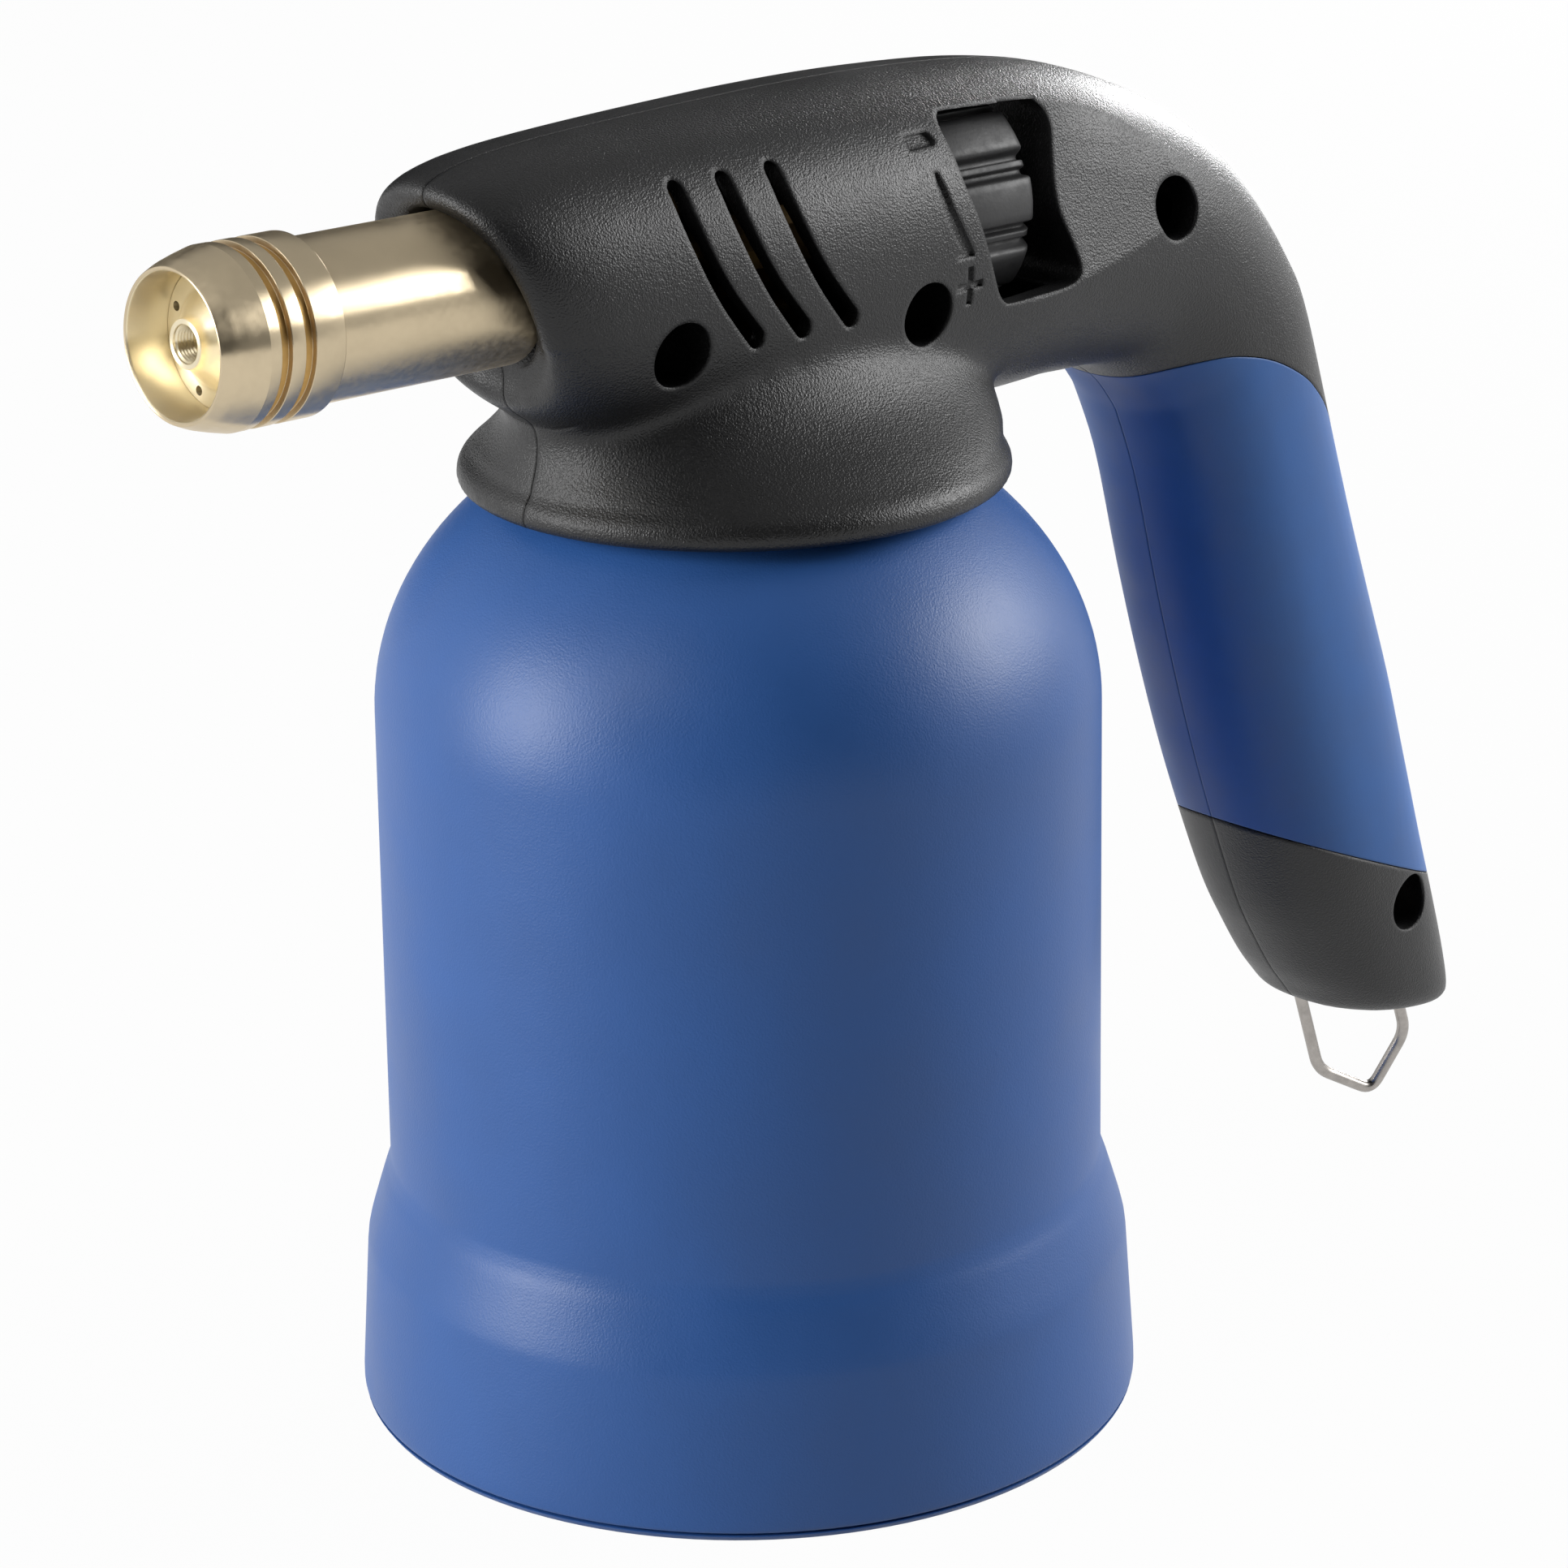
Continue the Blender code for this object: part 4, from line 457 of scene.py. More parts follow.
def dress(piece, sharp, body, material, slot, *nodes):
    """Shade a piece smooth up to an angle, give it its material and body, and hide the CAD nodes it
    replaces; the slot is not used.
    """
    take(piece)
    bpy.ops.object.shade_smooth_by_angle(angle=math.radians(sharp))
    piece.data.materials.clear()
    piece.data.materials.append(material)
    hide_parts(*nodes)
    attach(piece, body)


def scaled(colour, share):
    """A colour made darker or lighter by a share."""
    return tuple(min(channel * share, 1.0) for channel in colour)


def add_node(tree, kind, inputs, **settings):
    """Add a shader node with its settings, and set or link its inputs."""
    made = tree.nodes.new("ShaderNode" + kind)
    for key, value in settings.items():
        setattr(made, key, value)
    for key, value in inputs.items():
        if isinstance(value, bpy.types.NodeSocket):
            tree.links.new(value, made.inputs[key])
        else:
            made.inputs[key].default_value = value
    return made


class Finish:
    """A Principled material in the making, whose noises lie on object coordinates."""

    def __init__(self, name, colour, metallic=0.0):
        self.colour = colour
        self.material = bpy.data.materials.new(name)
        self.material.use_nodes = True
        self.material.diffuse_color = (*colour, 1.0)
        self.tree = self.material.node_tree
        self.shader = self.tree.nodes["Principled BSDF"]
        self.shader.inputs["Base Color"].default_value = (*colour, 1.0)
        self.shader.inputs["Metallic"].default_value = metallic
        self.coords = add_node(self.tree, "TexCoord", {}).outputs["Object"]

    def noise(self, size, detail=2.0, rough=0.5, stretch=None):
        """Noise whose features are about one size in metres, drawn out along an axis if asked."""
        coords = self.coords
        if stretch:
            mapping = add_node(self.tree, "Mapping", {"Scale": stretch, "Vector": coords})
            coords = mapping.outputs["Vector"]
        return add_node(self.tree, "TexNoise", {
            "Scale": 1.0 / size, "Detail": detail, "Roughness": rough, "Vector": coords,
        }).outputs["Fac"]

    def spread(self, value, low, high):
        """Carry the range where most of a noise lies to another range."""
        return add_node(self.tree, "MapRange", {
            "From Min": 0.3, "From Max": 0.7, "To Min": low, "To Max": high, "Value": value,
        }).outputs["Result"]

    def vary_colour(self, value, dark, pale):
        """Let a noise carry the colour between two shares of itself."""
        blend = add_node(self.tree, "Mix", {
            "A": (*scaled(self.colour, dark), 1.0), "B": (*scaled(self.colour, pale), 1.0),
            "Factor": self.spread(value, 0.0, 1.0),
        }, data_type="RGBA")
        self.tree.links.new(blend.outputs["Result"], self.shader.inputs["Base Color"])

    def vary_roughness(self, value, low, high):
        """Let a noise carry the roughness between two values."""
        self.tree.links.new(self.spread(value, low, high), self.shader.inputs["Roughness"])

    def emboss(self, height, depth):
        """Raise the surface by a noise of a depth in metres, on top of what is raised already."""
        bump = add_node(self.tree, "Bump", {"Distance": depth, "Height": height})
        socket = self.shader.inputs["Normal"]
        if socket.is_linked:
            self.tree.links.new(socket.links[0].from_socket, bump.inputs["Normal"])
        self.tree.links.new(bump.outputs["Normal"], socket)

    def round_edges(self, radius):
        """Let light catch sharp edges as on a moulded rounding of a radius in metres."""
        bevel = add_node(self.tree, "Bevel", {"Radius": radius}, samples=6)
        self.tree.links.new(bevel.outputs["Normal"], self.shader.inputs["Normal"])

    def brush_round(self, centre, axis):
        """Stretch the gloss across the turning marks that run round an axis."""
        self.shader.inputs["Anisotropic"].default_value = 0.9
        self.shader.inputs["Anisotropic Rotation"].default_value = 0.25
        away = add_node(self.tree, "VectorMath", {0: self.coords, 1: centre}, operation="SUBTRACT")
        around = add_node(self.tree, "VectorMath", {
            0: away.outputs["Vector"], 1: axis}, operation="CROSS_PRODUCT")
        self.tree.links.new(around.outputs["Vector"], self.shader.inputs["Tangent"])


def bell_paint(colour):
    """Satin enamel with a fine spray grain and faint clouding."""
    finish = Finish("bell_paint", colour)
    clouds = finish.noise(18 * MM, 3.0)
    finish.vary_colour(clouds, 0.95, 1.05)
    finish.vary_roughness(clouds, 0.40, 0.47)
    finish.emboss(finish.noise(0.28 * MM, 1.0), 0.035 * MM)
    finish.emboss(finish.noise(3.0 * MM, 1.0), 0.020 * MM)
    return finish.material


def shell_plastic(colour):
    """Moulded plastic with a fine spark-eroded grain."""
    finish = Finish("shell_plastic", colour)
    finish.round_edges(0.9 * MM)
    finish.shader.inputs["Specular IOR Level"].default_value = 0.45
    patches = finish.noise(12 * MM, 3.0)
    finish.vary_colour(patches, 0.85, 1.2)
    finish.vary_roughness(patches, 0.36, 0.44)
    finish.emboss(finish.noise(0.28 * MM, 1.0, 0.6), 0.11 * MM)
    return finish.material


def cap_plastic(colour):
    """Blue moulded plastic of the base cap."""
    finish = Finish("cap_plastic", scaled(colour, 0.9))
    finish.vary_roughness(finish.noise(8.0 * MM, 3.0), 0.44, 0.56)
    finish.emboss(finish.noise(0.35 * MM, 1.0), 0.03 * MM)
    return finish.material


def knob_plastic(colour):
    """Smoother plastic of the knob, with rubbed patches."""
    finish = Finish("knob_plastic", scaled(colour, 1.6))
    finish.round_edges(0.4 * MM)
    finish.vary_roughness(finish.noise(1.6 * MM, 4.0), 0.46, 0.60)
    finish.emboss(finish.noise(0.5 * MM), 0.02 * MM)
    return finish.material


def soft_grip(colour):
    """Soft-touch rubber of the grips."""
    finish = Finish("soft_grip", colour)
    finish.round_edges(0.4 * MM)
    patches = finish.noise(9 * MM, 3.0)
    finish.vary_colour(patches, 0.93, 1.07)
    finish.vary_roughness(patches, 0.46, 0.55)
    finish.emboss(finish.noise(0.22 * MM, 1.0), 0.010 * MM)
    return finish.material


def turned_brass(name, colour, low, high):
    """Lathe-turned brass: fine rings round the burner's axis, satin patches and faint stains."""
    finish = Finish(name, colour, 1.0)
    finish.vary_colour(finish.noise(7 * MM, 3.0), 0.95, 1.03)
    finish.vary_roughness(finish.noise(0.9 * MM, 3.0), low, high)
    finish.emboss(finish.noise(0.16 * MM, 2.0, 0.5, (1.0, 0.03, 0.03)), 0.004 * MM)
    finish.emboss(finish.noise(0.3 * MM), 0.001 * MM)
    finish.brush_round(BURNER.translation, BURNER_AXIS)
    return finish.material


def plated_steel(colour):
    """Zinc plate, dull and a little uneven."""
    finish = Finish("plated_steel", colour, 1.0)
    patches = finish.noise(1.5 * MM, 4.0, 0.6)
    finish.vary_colour(patches, 0.8, 1.1)
    finish.vary_roughness(patches, 0.30, 0.44)
    finish.emboss(finish.noise(0.8 * MM), 0.004 * MM)
    return finish.material


def seal_rubber():
    """Dusty black rubber."""
    finish = Finish("seal_rubber", (0.02, 0.02, 0.02))
    finish.vary_roughness(finish.noise(1.0 * MM, 3.0), 0.7, 0.9)
    finish.emboss(finish.noise(0.3 * MM), 0.03 * MM)
    return finish.material


def can_lacquer():
    """Plain lacquered steel of the cartridge."""
    finish = Finish("can_lacquer", (0.64, 0.65, 0.66), 0.6)
    finish.vary_roughness(finish.noise(6.0 * MM, 4.0), 0.28, 0.42)
    finish.emboss(finish.noise(0.4 * MM, 1.0), 0.01 * MM)
    return finish.material


def shell_loft(name, rings, sides):
    """Extrude a squared circle ring by ring, each turned and drawn to its own size."""
    clear_selection()
    bpy.ops.mesh.primitive_circle_add(
        vertices=sides, radius=1.0, fill_type="NGON", rotation=(0.0, QUARTER, 0.0))
    piece = named(name)
    for point in piece.data.vertices:
        side, up = point.co.y, point.co.z
        point.co.y = math.copysign(abs(side) ** (2 / SHELL_POWER), side)
        point.co.z = math.copysign(abs(up) ** (2 / SHELL_POWER), up)
    edit(piece)
    x, z, lean, depth, width = rings[0]
    draw_out((1.0, width * MM, depth * MM), (0.0, 0.0, 0.0))
    turn_over(lean, (0.0, 0.0, 0.0))
    bpy.ops.transform.translate(value=(x * MM, 0.0, z * MM))
    for before, after in zip(rings, rings[1:]):
        extrude(((after[0] - before[0]) * MM, 0.0, (after[1] - before[1]) * MM))
        centre = (after[0] * MM, 0.0, after[1] * MM)
        turn_over(-before[2], centre)
        draw_out((1.0, after[4] / before[4], after[3] / before[3]), centre)
        turn_over(after[2], centre)
    close_solid()
    return piece


def drawn_in(rings, wall):
    """Shell rings drawn in by a wall in millimetres."""
    return [(x, z, lean, depth - wall, width - wall) for x, z, lean, depth, width in rings]


def neck_stack(name, rings, sides):
    """Extrude an oval upwards, each ring shifted and drawn to its own size."""
    clear_selection()
    height, shift, long, wide = rings[0]
    start = (shift * MM, 0.0, height * MM)
    bpy.ops.mesh.primitive_circle_add(
        vertices=sides, radius=long * MM, fill_type="NGON", location=start)
    piece = named(name)
    edit(piece)
    draw_out((1.0, wide / long, 1.0), start)
    for before, after in zip(rings, rings[1:]):
        extrude(((after[1] - before[1]) * MM, 0.0, (after[0] - before[0]) * MM))
        centre = (after[1] * MM, 0.0, after[0] * MM)
        draw_out((after[2] / before[2], after[3] / before[3], 1.0), centre)
    close_solid()
    return piece


def ribbon(middle, width):
    """Outline of a band with round ends about a middle line, in millimetres."""
    outline = []
    there = [Vector(point) for point in middle]
    for line in (there, there[::-1]):
        for before, here, after in zip(line[:1] + line, line, line[1:] + line[-1:]):
            travel = (after - before).normalized()
            across = Vector((-travel.y, travel.x))
            outline.append(tuple(here + across * width / 2))
        for turn in [math.pi * step / 6 for step in range(1, 6)]:
            round_end = across * math.cos(turn) + travel * math.sin(turn)
            outline.append(tuple(here + round_end * width / 2))
    return outline


def joint_group(piece):
    """A vertex group of the points where the neck flows into the head."""
    places = np.empty(len(piece.data.vertices) * 3)
    piece.data.vertices.foreach_get("co", places)
    x, _, z = (places.reshape(-1, 3) / MM).T
    group = piece.vertex_groups.new(name="joint")
    inside = (z > 134) & (z < 152) & (abs(x) < 46)
    group.add(np.nonzero(inside)[0].tolist(), 1.0, "REPLACE")
    return group.name


def outer_form(cell):
    """The shell's outside: head, bend, handle and neck in one skin, with a soft joint."""
    rings = drawn_in(blended(SHELL_RINGS, 4), SKIN_INSET)
    form = shell_loft("shell_form", rings, 64)
    join(form, neck_stack("neck", blended(NECK_RINGS, 3), 96))
    apply_step(form, "REMESH", mode="VOXEL", voxel_size=cell, use_smooth_shade=True)
    apply_step(form, "SMOOTH", factor=0.5, iterations=2)
    return apply_step(form, "SMOOTH", factor=0.5, iterations=50, vertex_group=joint_group(form))


def facet_wedge(side):
    """A leaning wedge, cut off behind the window, where its flat narrows towards a screw."""
    outline = [(20.8, 139.0), (11.1, 173.0), (26.0, 173.0), (26.0, 139.0)]
    piece = trace("facet", [(35.0 * MM, side * y * MM, z * MM) for y, z in outline])
    extrude_filled((31.0 * MM, side * 0.3 * MM, 0.0))
    return piece


def grip_region(grow):
    """The soft grips' region as a prism, grown by millimetres."""
    top = [(x, z + grow) for x, z in blended(GRIP_EDGE, 5)]
    foot = [(x, z - grow) for x, z in GRIP_FOOT]
    return side_prism("grip_region", top + foot, 1.0, -32.0, 32.0)


def pocket_tools():
    """What is cut into the shell's outside: nose bore, facets, window, vents and recesses."""
    tools = [
        rod("nose_bore", 10.7, -90.0, -38.0, 64, "burner"),
        facet_wedge(-1), facet_wedge(1),
        side_prism("window", blended(WINDOW, 3, closed=True), 1, -40.0, 40.0),
    ]
    for side in (-1, 1):
        for start in VENT_STARTS:
            middle = blended([(start + x, z) for x, z in VENT_LINE], 3)
            tools.append(side_prism("vent", ribbon(middle, VENT_WIDTH), side, 12.0, 40.0))
    for x, z in SCREWS:
        tools.append(rod("recess", 4.2, -40.0, -6.2, 48, "Y", (x, 0.0, z)))
    return tools


def inside_room():
    """The room in the head, with the posts and the web that stay standing in it."""
    rings = [ring for ring in drawn_in(blended(HEAD_RINGS, 2), 2.5) if -34.0 < ring[0] < 36.0]
    flat = [(x, z, 0.0, depth, width) for x, z, _, depth, width in rings]
    last = flat[-1]
    flat.append((40.8, last[1], 0.0, last[3], 16.4))
    room = shell_loft("room", flat, 32)
    neck = lathe("neck_room", [(*corner, 0.0) for corner in NECK_ROOM], 48, closed=False)
    join(room, neck, rod("knob_room", 16.4, 21.3, 40.8, 64, "burner"))
    posts = [cut(rod("web", 20.5, 137.3, 140.1, 48), rod("web_bore", 10.8, 136.0, 141.5, 48))]
    for (x, z), reach in zip(SCREWS, POST_REACHES):
        posts.append(rod("post", 5.25, -reach, -4.6, 32, "Y", (x, 0.0, z)))
        posts.append(rod("post", 2.6, -5.4, reach, 24, "Y", (x, 0.0, z)))
    return cut(room, *posts)


def handle_room():
    """The hollow inside the handle."""
    return shell_loft("handle_room", drawn_in(BEND_RINGS[3:] + HANDLE_RINGS[:5], 4.5), 24)


def hook_socket():
    """The round socket in the handle's end, with the groove that holds the hook's feet."""
    groove = HOOK_REACH - HOOK_FEET
    corners = [
        (0.0, 89.1, 0.0), (8.7, 89.1, 0.0), (8.7, groove - 1.2, 0.0), (10.7, groove - 1.2, 0.0),
        (10.7, groove + 1.2, 0.0), (8.7, groove + 1.2, 0.0), (8.7, 119.4, 0.0), (0.0, 119.4, 0.0),
    ]
    socket = lathe("hook_socket", corners, 64, closed=False)
    turn = HANDLE_AXIS.to_track_quat("Z", "Y").to_matrix().to_4x4()
    return lay(socket, Matrix.Translation(HANDLE_TOP + 0.8 * MM * HANDLE_BACK) @ turn)


def mark_tools(depth):
    """The marks beside the knob on the left: less, more and the wedge between them."""
    centre = Vector(PLUS_CENTRE)
    bars = []
    for turn, long in PLUS_BARS:
        along = Vector((math.cos(turn), math.sin(turn))) * long / 2
        across = Vector((-math.sin(turn), math.cos(turn))) * PLUS_HALF_WIDTH
        bars.append([tuple(centre + corner) for corner in (
            along + across, along - across, -along - across, -along + across)])
    floor = shell_loft("mark_floor", drawn_in(blended(HEAD_RINGS, 4), SKIN_INSET + depth / MM), 64)
    marks = []
    for outline in (MINUS, WEDGE, *bars):
        marks.append(cut(side_prism("mark", outline, -1, 8.0, 30.0), copied(floor, "mark_floor")))
    bpy.data.objects.remove(floor)
    return marks


def half_box(side, parting):
    """All that lies on one side of the parting plane."""
    low, high = sorted((side * parting / 2 / MM, side * 60.0))
    return block("half", (-60.0, low, -10.0), (160.0, high, 190.0))


class BLOWLAMP_OT_shell(bpy.types.Operator):
    """Make the two moulded halves of the shell and the soft grips let into them."""

    bl_idname = "blowlamp.shell"
    bl_label = "Shell and grips"

    def execute(self, context):
        sizes = context.scene.blowlamp_sizes
        colours = context.scene.blowlamp_colours
        form = outer_form(sizes.shell_cell)
        core = blended(SHELL_RINGS[9:], 3)
        grips = keep(copied(form, "grips"), grip_region(0.1))
        cut(grips, shell_loft("grip_core", drawn_in(core, 2.0), 48))
        seat = cut(grip_region(0.25), shell_loft("seat_core", drawn_in(core, 2.3), 48))
        cut(form, join(seat, hook_socket(), *pocket_tools()))
        shanks = [rod("shank", 1.7, -8.0, 7.8, 20, "Y", (x, 0.0, z)) for x, z in SCREWS]
        cut(form, join(inside_room(), handle_room(), *shanks, *mark_tools(sizes.mark_depth)))
        plastic = shell_plastic(colours.plastic)
        rubber = soft_grip(colours.grip)
        for name, side in (("left", -1), ("right", 1)):
            half = keep(copied(form, "shell_" + name), half_box(side, sizes.parting))
            dress(half, 32, "torch", plastic, "black_plastic", "housing_" + name)
            grip = keep(copied(grips, "soft_grip_" + name), half_box(side, sizes.parting))
            dress(grip, 32, "torch", rubber, "blue_soft_grip", "grip_" + name)
        for piece in (form, grips):
            bpy.data.objects.remove(piece)
        return {"FINISHED"}


def dome(radius, rise, start=95.3, end=math.radians(68.8), steps=28):
    """The bell's rounded top from its side to its crown, as an outline for the lathe."""
    turns = [end * step / steps for step in range(steps + 1)]
    return [(radius * math.cos(turn), start + rise * math.sin(turn), 0.0) for turn in turns]


class BLOWLAMP_OT_bell(bpy.types.Operator):
    """Spin the painted bell over the cartridge."""

    bl_idname = "blowlamp.bell"
    bl_label = "Bell"

    def execute(self, context):
        outer = [
            (50.9, 1.1, 0.0), (51.95, 1.3, 0.5), (51.98, 2.6, 0.8), (50.75, 21.0, 0.0),
            (50.6, 22.4, 0.8), (50.1, 24.3, 0.6), (49.1, 27.6, 0.6), (48.3, 30.2, 0.6),
            (47.7, 31.8, 0.6), (47.3, 33.6, 0.6), *dome(47.05, 38.9), (8.2, 131.58, 0.0),
        ]
        inner = [
            (8.2, 130.58, 0.0), *reversed(dome(46.05, 37.9)), (46.3, 33.0, 1.0), (49.6, 22.0, 1.0),
            (49.6, 1.3, 0.0),
        ]
        bell = lathe("bell", outer + inner, context.scene.blowlamp_sizes.round_steps)
        paint = bell_paint(context.scene.blowlamp_colours.paint)
        dress(bell, 40, "torch", paint, "blue_paint", "cartridge_housing")
        return {"FINISHED"}


class BLOWLAMP_OT_base_cap(bpy.types.Operator):
    """Make the screwed base cap with its turning bar and grip ribs."""

    bl_idname = "blowlamp.base_cap"
    bl_label = "Base cap"

    def execute(self, context):
        corners = [
            (0.0, 8.5, 0.0), (44.0, 8.5, 0.8), (45.0, 0.0, 0.5), (51.2, 0.0, 0.4),
            (51.85, 0.95, 0.2), (49.3, 0.95, 0.1), (49.3, 18.0, 0.4), (46.9, 18.0, 0.4),
            (46.9, 10.5, 0.6), (38.5, 10.5, 0.6), (38.5, 20.0, 0.3), (36.3, 20.0, 0.3),
            (36.3, 10.5, 0.6), (0.0, 10.5, 0.0),
        ]
        cap = lathe("screwed_cap", corners, context.scene.blowlamp_sizes.round_steps, closed=False)
        bar = block("bar", (-44.7, -5.5, 0.0), (44.7, 5.5, 9.0))
        apply_step(bar, "BEVEL", width=1.0 * MM, segments=3, limit_method="ANGLE")
        join(cap, bar)
        for turn, place in ring_places(24, 44.6):
            if abs(math.sin(turn)) > 0.2:  # clear of the bar's ends
                join(cap, rod("rib", 0.9, 0.5, 9.0, 12, "Z", place))
        plastic = cap_plastic(context.scene.blowlamp_colours.paint)
        dress(cap, 40, "cap", plastic, "blue_plastic", "base_cap")
        return {"FINISHED"}


def paint_grooves_and_cup(head):
    """Give the burner head's second material to its grooves' faces, and its third to the cup's."""
    for face in head.data.polygons:
        offset = face.center - BURNER.translation
        reach = offset.dot(BURNER_AXIS) / MM
        radius = (offset - BURNER_AXIS * offset.dot(BURNER_AXIS)).length / MM
        if radius < 10.6 and any(
                near - GROOVE_WIDTH + GROOVE_EDGE < reach < near - GROOVE_EDGE for near in GROOVES):
            face.material_index = 1
        elif radius < 8.95:
            face.material_index = 2


class BLOWLAMP_OT_burner(bpy.types.Operator):
    """Turn the burner's tube, head and flame holder."""

    bl_idname = "blowlamp.burner"
    bl_label = "Burner"

    def execute(self, context):
        steps = context.scene.blowlamp_sizes.round_steps
        colours = context.scene.blowlamp_colours
        brass = turned_brass("burner_brass", colours.brass, 0.28, 0.35)
        gold = turned_brass("groove_brass", colours.gold, 0.45, 0.55)
        pale = turned_brass("cup_brass", colours.cup, 0.34, 0.38)
        tube = lathe("satin_tube", [
            (4.8, -39.0, 0.0), (10.0, -39.0, 0.3), (10.0, -70.2, 0.3), (8.6, -70.2, 0.0),
            (8.6, -77.0, 0.2), (7.4, -77.0, 0.2), (7.4, -70.2, 0.0), (8.8, -69.0, 0.0),
            (8.8, -41.2, 0.0), (4.8, -41.2, 0.0),
        ], steps)
        dress(lay(tube, BURNER), 40, "torch", brass, "brass", "burner_tube")
        outline = [(8.9, -70.5, 0.0), (11.1, -70.5, 0.25)]
        for near in GROOVES:
            far = near - GROOVE_WIDTH
            outline += [(11.1, near, 0.15), (10.3, near, 0.1), (10.3, far, 0.1), (11.1, far, 0.15)]
        outline += [
            (11.1, -81.5, 0.0), (10.6, -83.7, 0.5), (10.05, -85.7, 0.5), (9.35, -87.35, 0.2),
            (9.15, -87.4, 0.1), (8.85, -87.2, 0.2), (8.5, -85.0, 1.0), (8.5, -79.5, 0.2),
            (7.8, -79.5, 0.0), (7.8, -77.3, 0.0), (8.9, -77.3, 0.0),
        ]
        head = lay(lathe("turned_head", outline, steps), BURNER)
        dress(head, 11, "torch", brass, "brass", "burner_head")
        head.data.materials.append(gold)
        head.data.materials.append(pale)
        paint_grooves_and_cup(head)
        outline = [
            (1.2, -79.8, 0.0), (8.46, -79.8, 0.1), (8.46, -81.6, 0.1), (6.0, -81.6, 0.5),
            (3.15, -84.6, 0.6), (3.0, -85.5, 0.15), (2.35, -85.5, 0.15),
        ]
        for ring in range(6):
            outline += [(2.3, -85.2 + 0.45 * ring, 0.0), (2.08, -84.98 + 0.45 * ring, 0.0)]
        outline += [(2.2, -82.3, 0.0), (1.2, -82.0, 0.0)]
        holder = lay(lathe("flame_nozzle", outline, 96), BURNER)
        for _, place in ring_places(8, 7.2):
            cut(holder, lay(rod("hole", 0.6, -83.0, -79.0, 20, "Z", place), BURNER))
        dress(holder, 35, "torch", pale, "brass", "flame_holder")
        return {"FINISHED"}


class BLOWLAMP_OT_knob(bpy.types.Operator):
    """Make the fluted regulator knob, with a fine rib standing in each groove."""

    bl_idname = "blowlamp.knob"
    bl_label = "Regulator knob"

    def execute(self, context):
        lobes = context.scene.blowlamp_sizes.lobes
        outline = []
        for lobe in range(lobes):
            groove = math.radians(FIRST_GROOVE) + lobe * (math.tau / lobes)
            for turn, radius in LOBE:
                angle = groove + math.radians(turn)
                outline.append((
                    KNOB_START * MM, -radius * math.cos(angle) * MM, radius * math.sin(angle) * MM))
        knob = trace("fluted_knob", outline)
        bpy.ops.mesh.edge_face_add()
        bpy.ops.mesh.select_all(action="SELECT")
        here, size = KNOB_START, 1.0
        for along, share in KNOB_ENDS:
            if along:
                extrude(((KNOB_START + along - here) * MM, 0.0, 0.0))
            here = KNOB_START + along
            draw_out((1.0, share / size, share / size), (here * MM, 0.0, 0.0))
            size = share
        close_solid()
        lay(knob, Matrix.Translation(BURNER.translation) @ Matrix.Rotation(TILT, 4, "Y"))
        dish = lathe("dish", [
            (3.8, 36.7, 0.4), (11.8, 36.7, 0.6), (12.2, 45.0, 0.0), (3.6, 45.0, 0.0)], 96)
        join(knob, rod("hub", 5.5, 21.7, 25.5, 48, "burner"))
        cut(knob, lay(dish, BURNER), rod("bore", 2.3, 20.0, 45.0, 32, "burner"))
        plastic = knob_plastic(context.scene.blowlamp_colours.plastic)
        dress(knob, 40, "knob", plastic, "black_plastic", "regulator_knob")
        return {"FINISHED"}


class BLOWLAMP_OT_screws(bpy.types.Operator):
    """Make one cross-slotted pan-head screw and set a copy in each recess."""

    bl_idname = "blowlamp.screws"
    bl_label = "Screws"

    def execute(self, context):
        screw = lathe("cross_screw", [
            (0.0, -1.9, 0.0), (1.2, -1.85, 0.5), (2.3, -1.5, 0.6), (2.85, -0.7, 0.5),
            (2.9, 0.0, 0.1), (1.4, 0.0, 0.1), (1.4, 10.9, 0.4), (0.0, 13.0, 0.0)], 48, closed=False)
        for long, wide in ((1.7, 0.375), (0.375, 1.7)):
            cut(screw, block("slot", (-long, -wide, -3.0), (long, wide, -0.7)))
        steel = plated_steel(context.scene.blowlamp_colours.steel)
        lying = Matrix.Rotation(-QUARTER, 4, "X")
        for number, (x, z) in enumerate(SCREWS, start=1):
            piece = copied(screw, "cross_screw_%d" % number)
            spin = Matrix.Rotation(math.radians(17.0 + 31.0 * number), 4, "Z")
            lay(piece, Matrix.Translation((x * MM, -6.5 * MM, z * MM)) @ lying @ spin)
            dress(piece, 35, "torch", steel, "steel", "housing_screw_%d" % number)
        bpy.data.objects.remove(screw)
        return {"FINISHED"}


class BLOWLAMP_OT_hook(bpy.types.Operator):
    """Bend the wire hook whose feet turn in the handle's end."""

    bl_idname = "blowlamp.hook"
    bl_label = "Hanging hook"

    def execute(self, context):
        corners = [
            (10.15, -HOOK_FEET, 0.0), (7.35, -HOOK_FEET, 2.2), (7.35, 0.0, 2.2), (0.0, 7.6, 2.2),
            (-7.35, 0.0, 2.2), (-7.35, -HOOK_FEET, 2.2), (-10.15, -HOOK_FEET, 0.0),
        ]
        hook = trace("wire_hook", [
            tuple(HOOK_CENTRE + (side * HOOK_SIDE + down * HANDLE_AXIS) * MM)
            for side, down in bent(corners, 8)])
        close_edit()
        bpy.ops.object.convert(target="CURVE")
        hook.data.bevel_depth = context.scene.blowlamp_sizes.wire / 2
        hook.data.bevel_resolution = 6
        hook.data.use_fill_caps = True
        bpy.ops.object.convert(target="MESH")
        edit(hook)
        bpy.ops.mesh.remove_doubles(threshold=CLOSE)
        close_solid()
        dress(hook, 50, "hook", bpy.data.materials["plated_steel"], "steel", "hanging_hook")
        return {"FINISHED"}


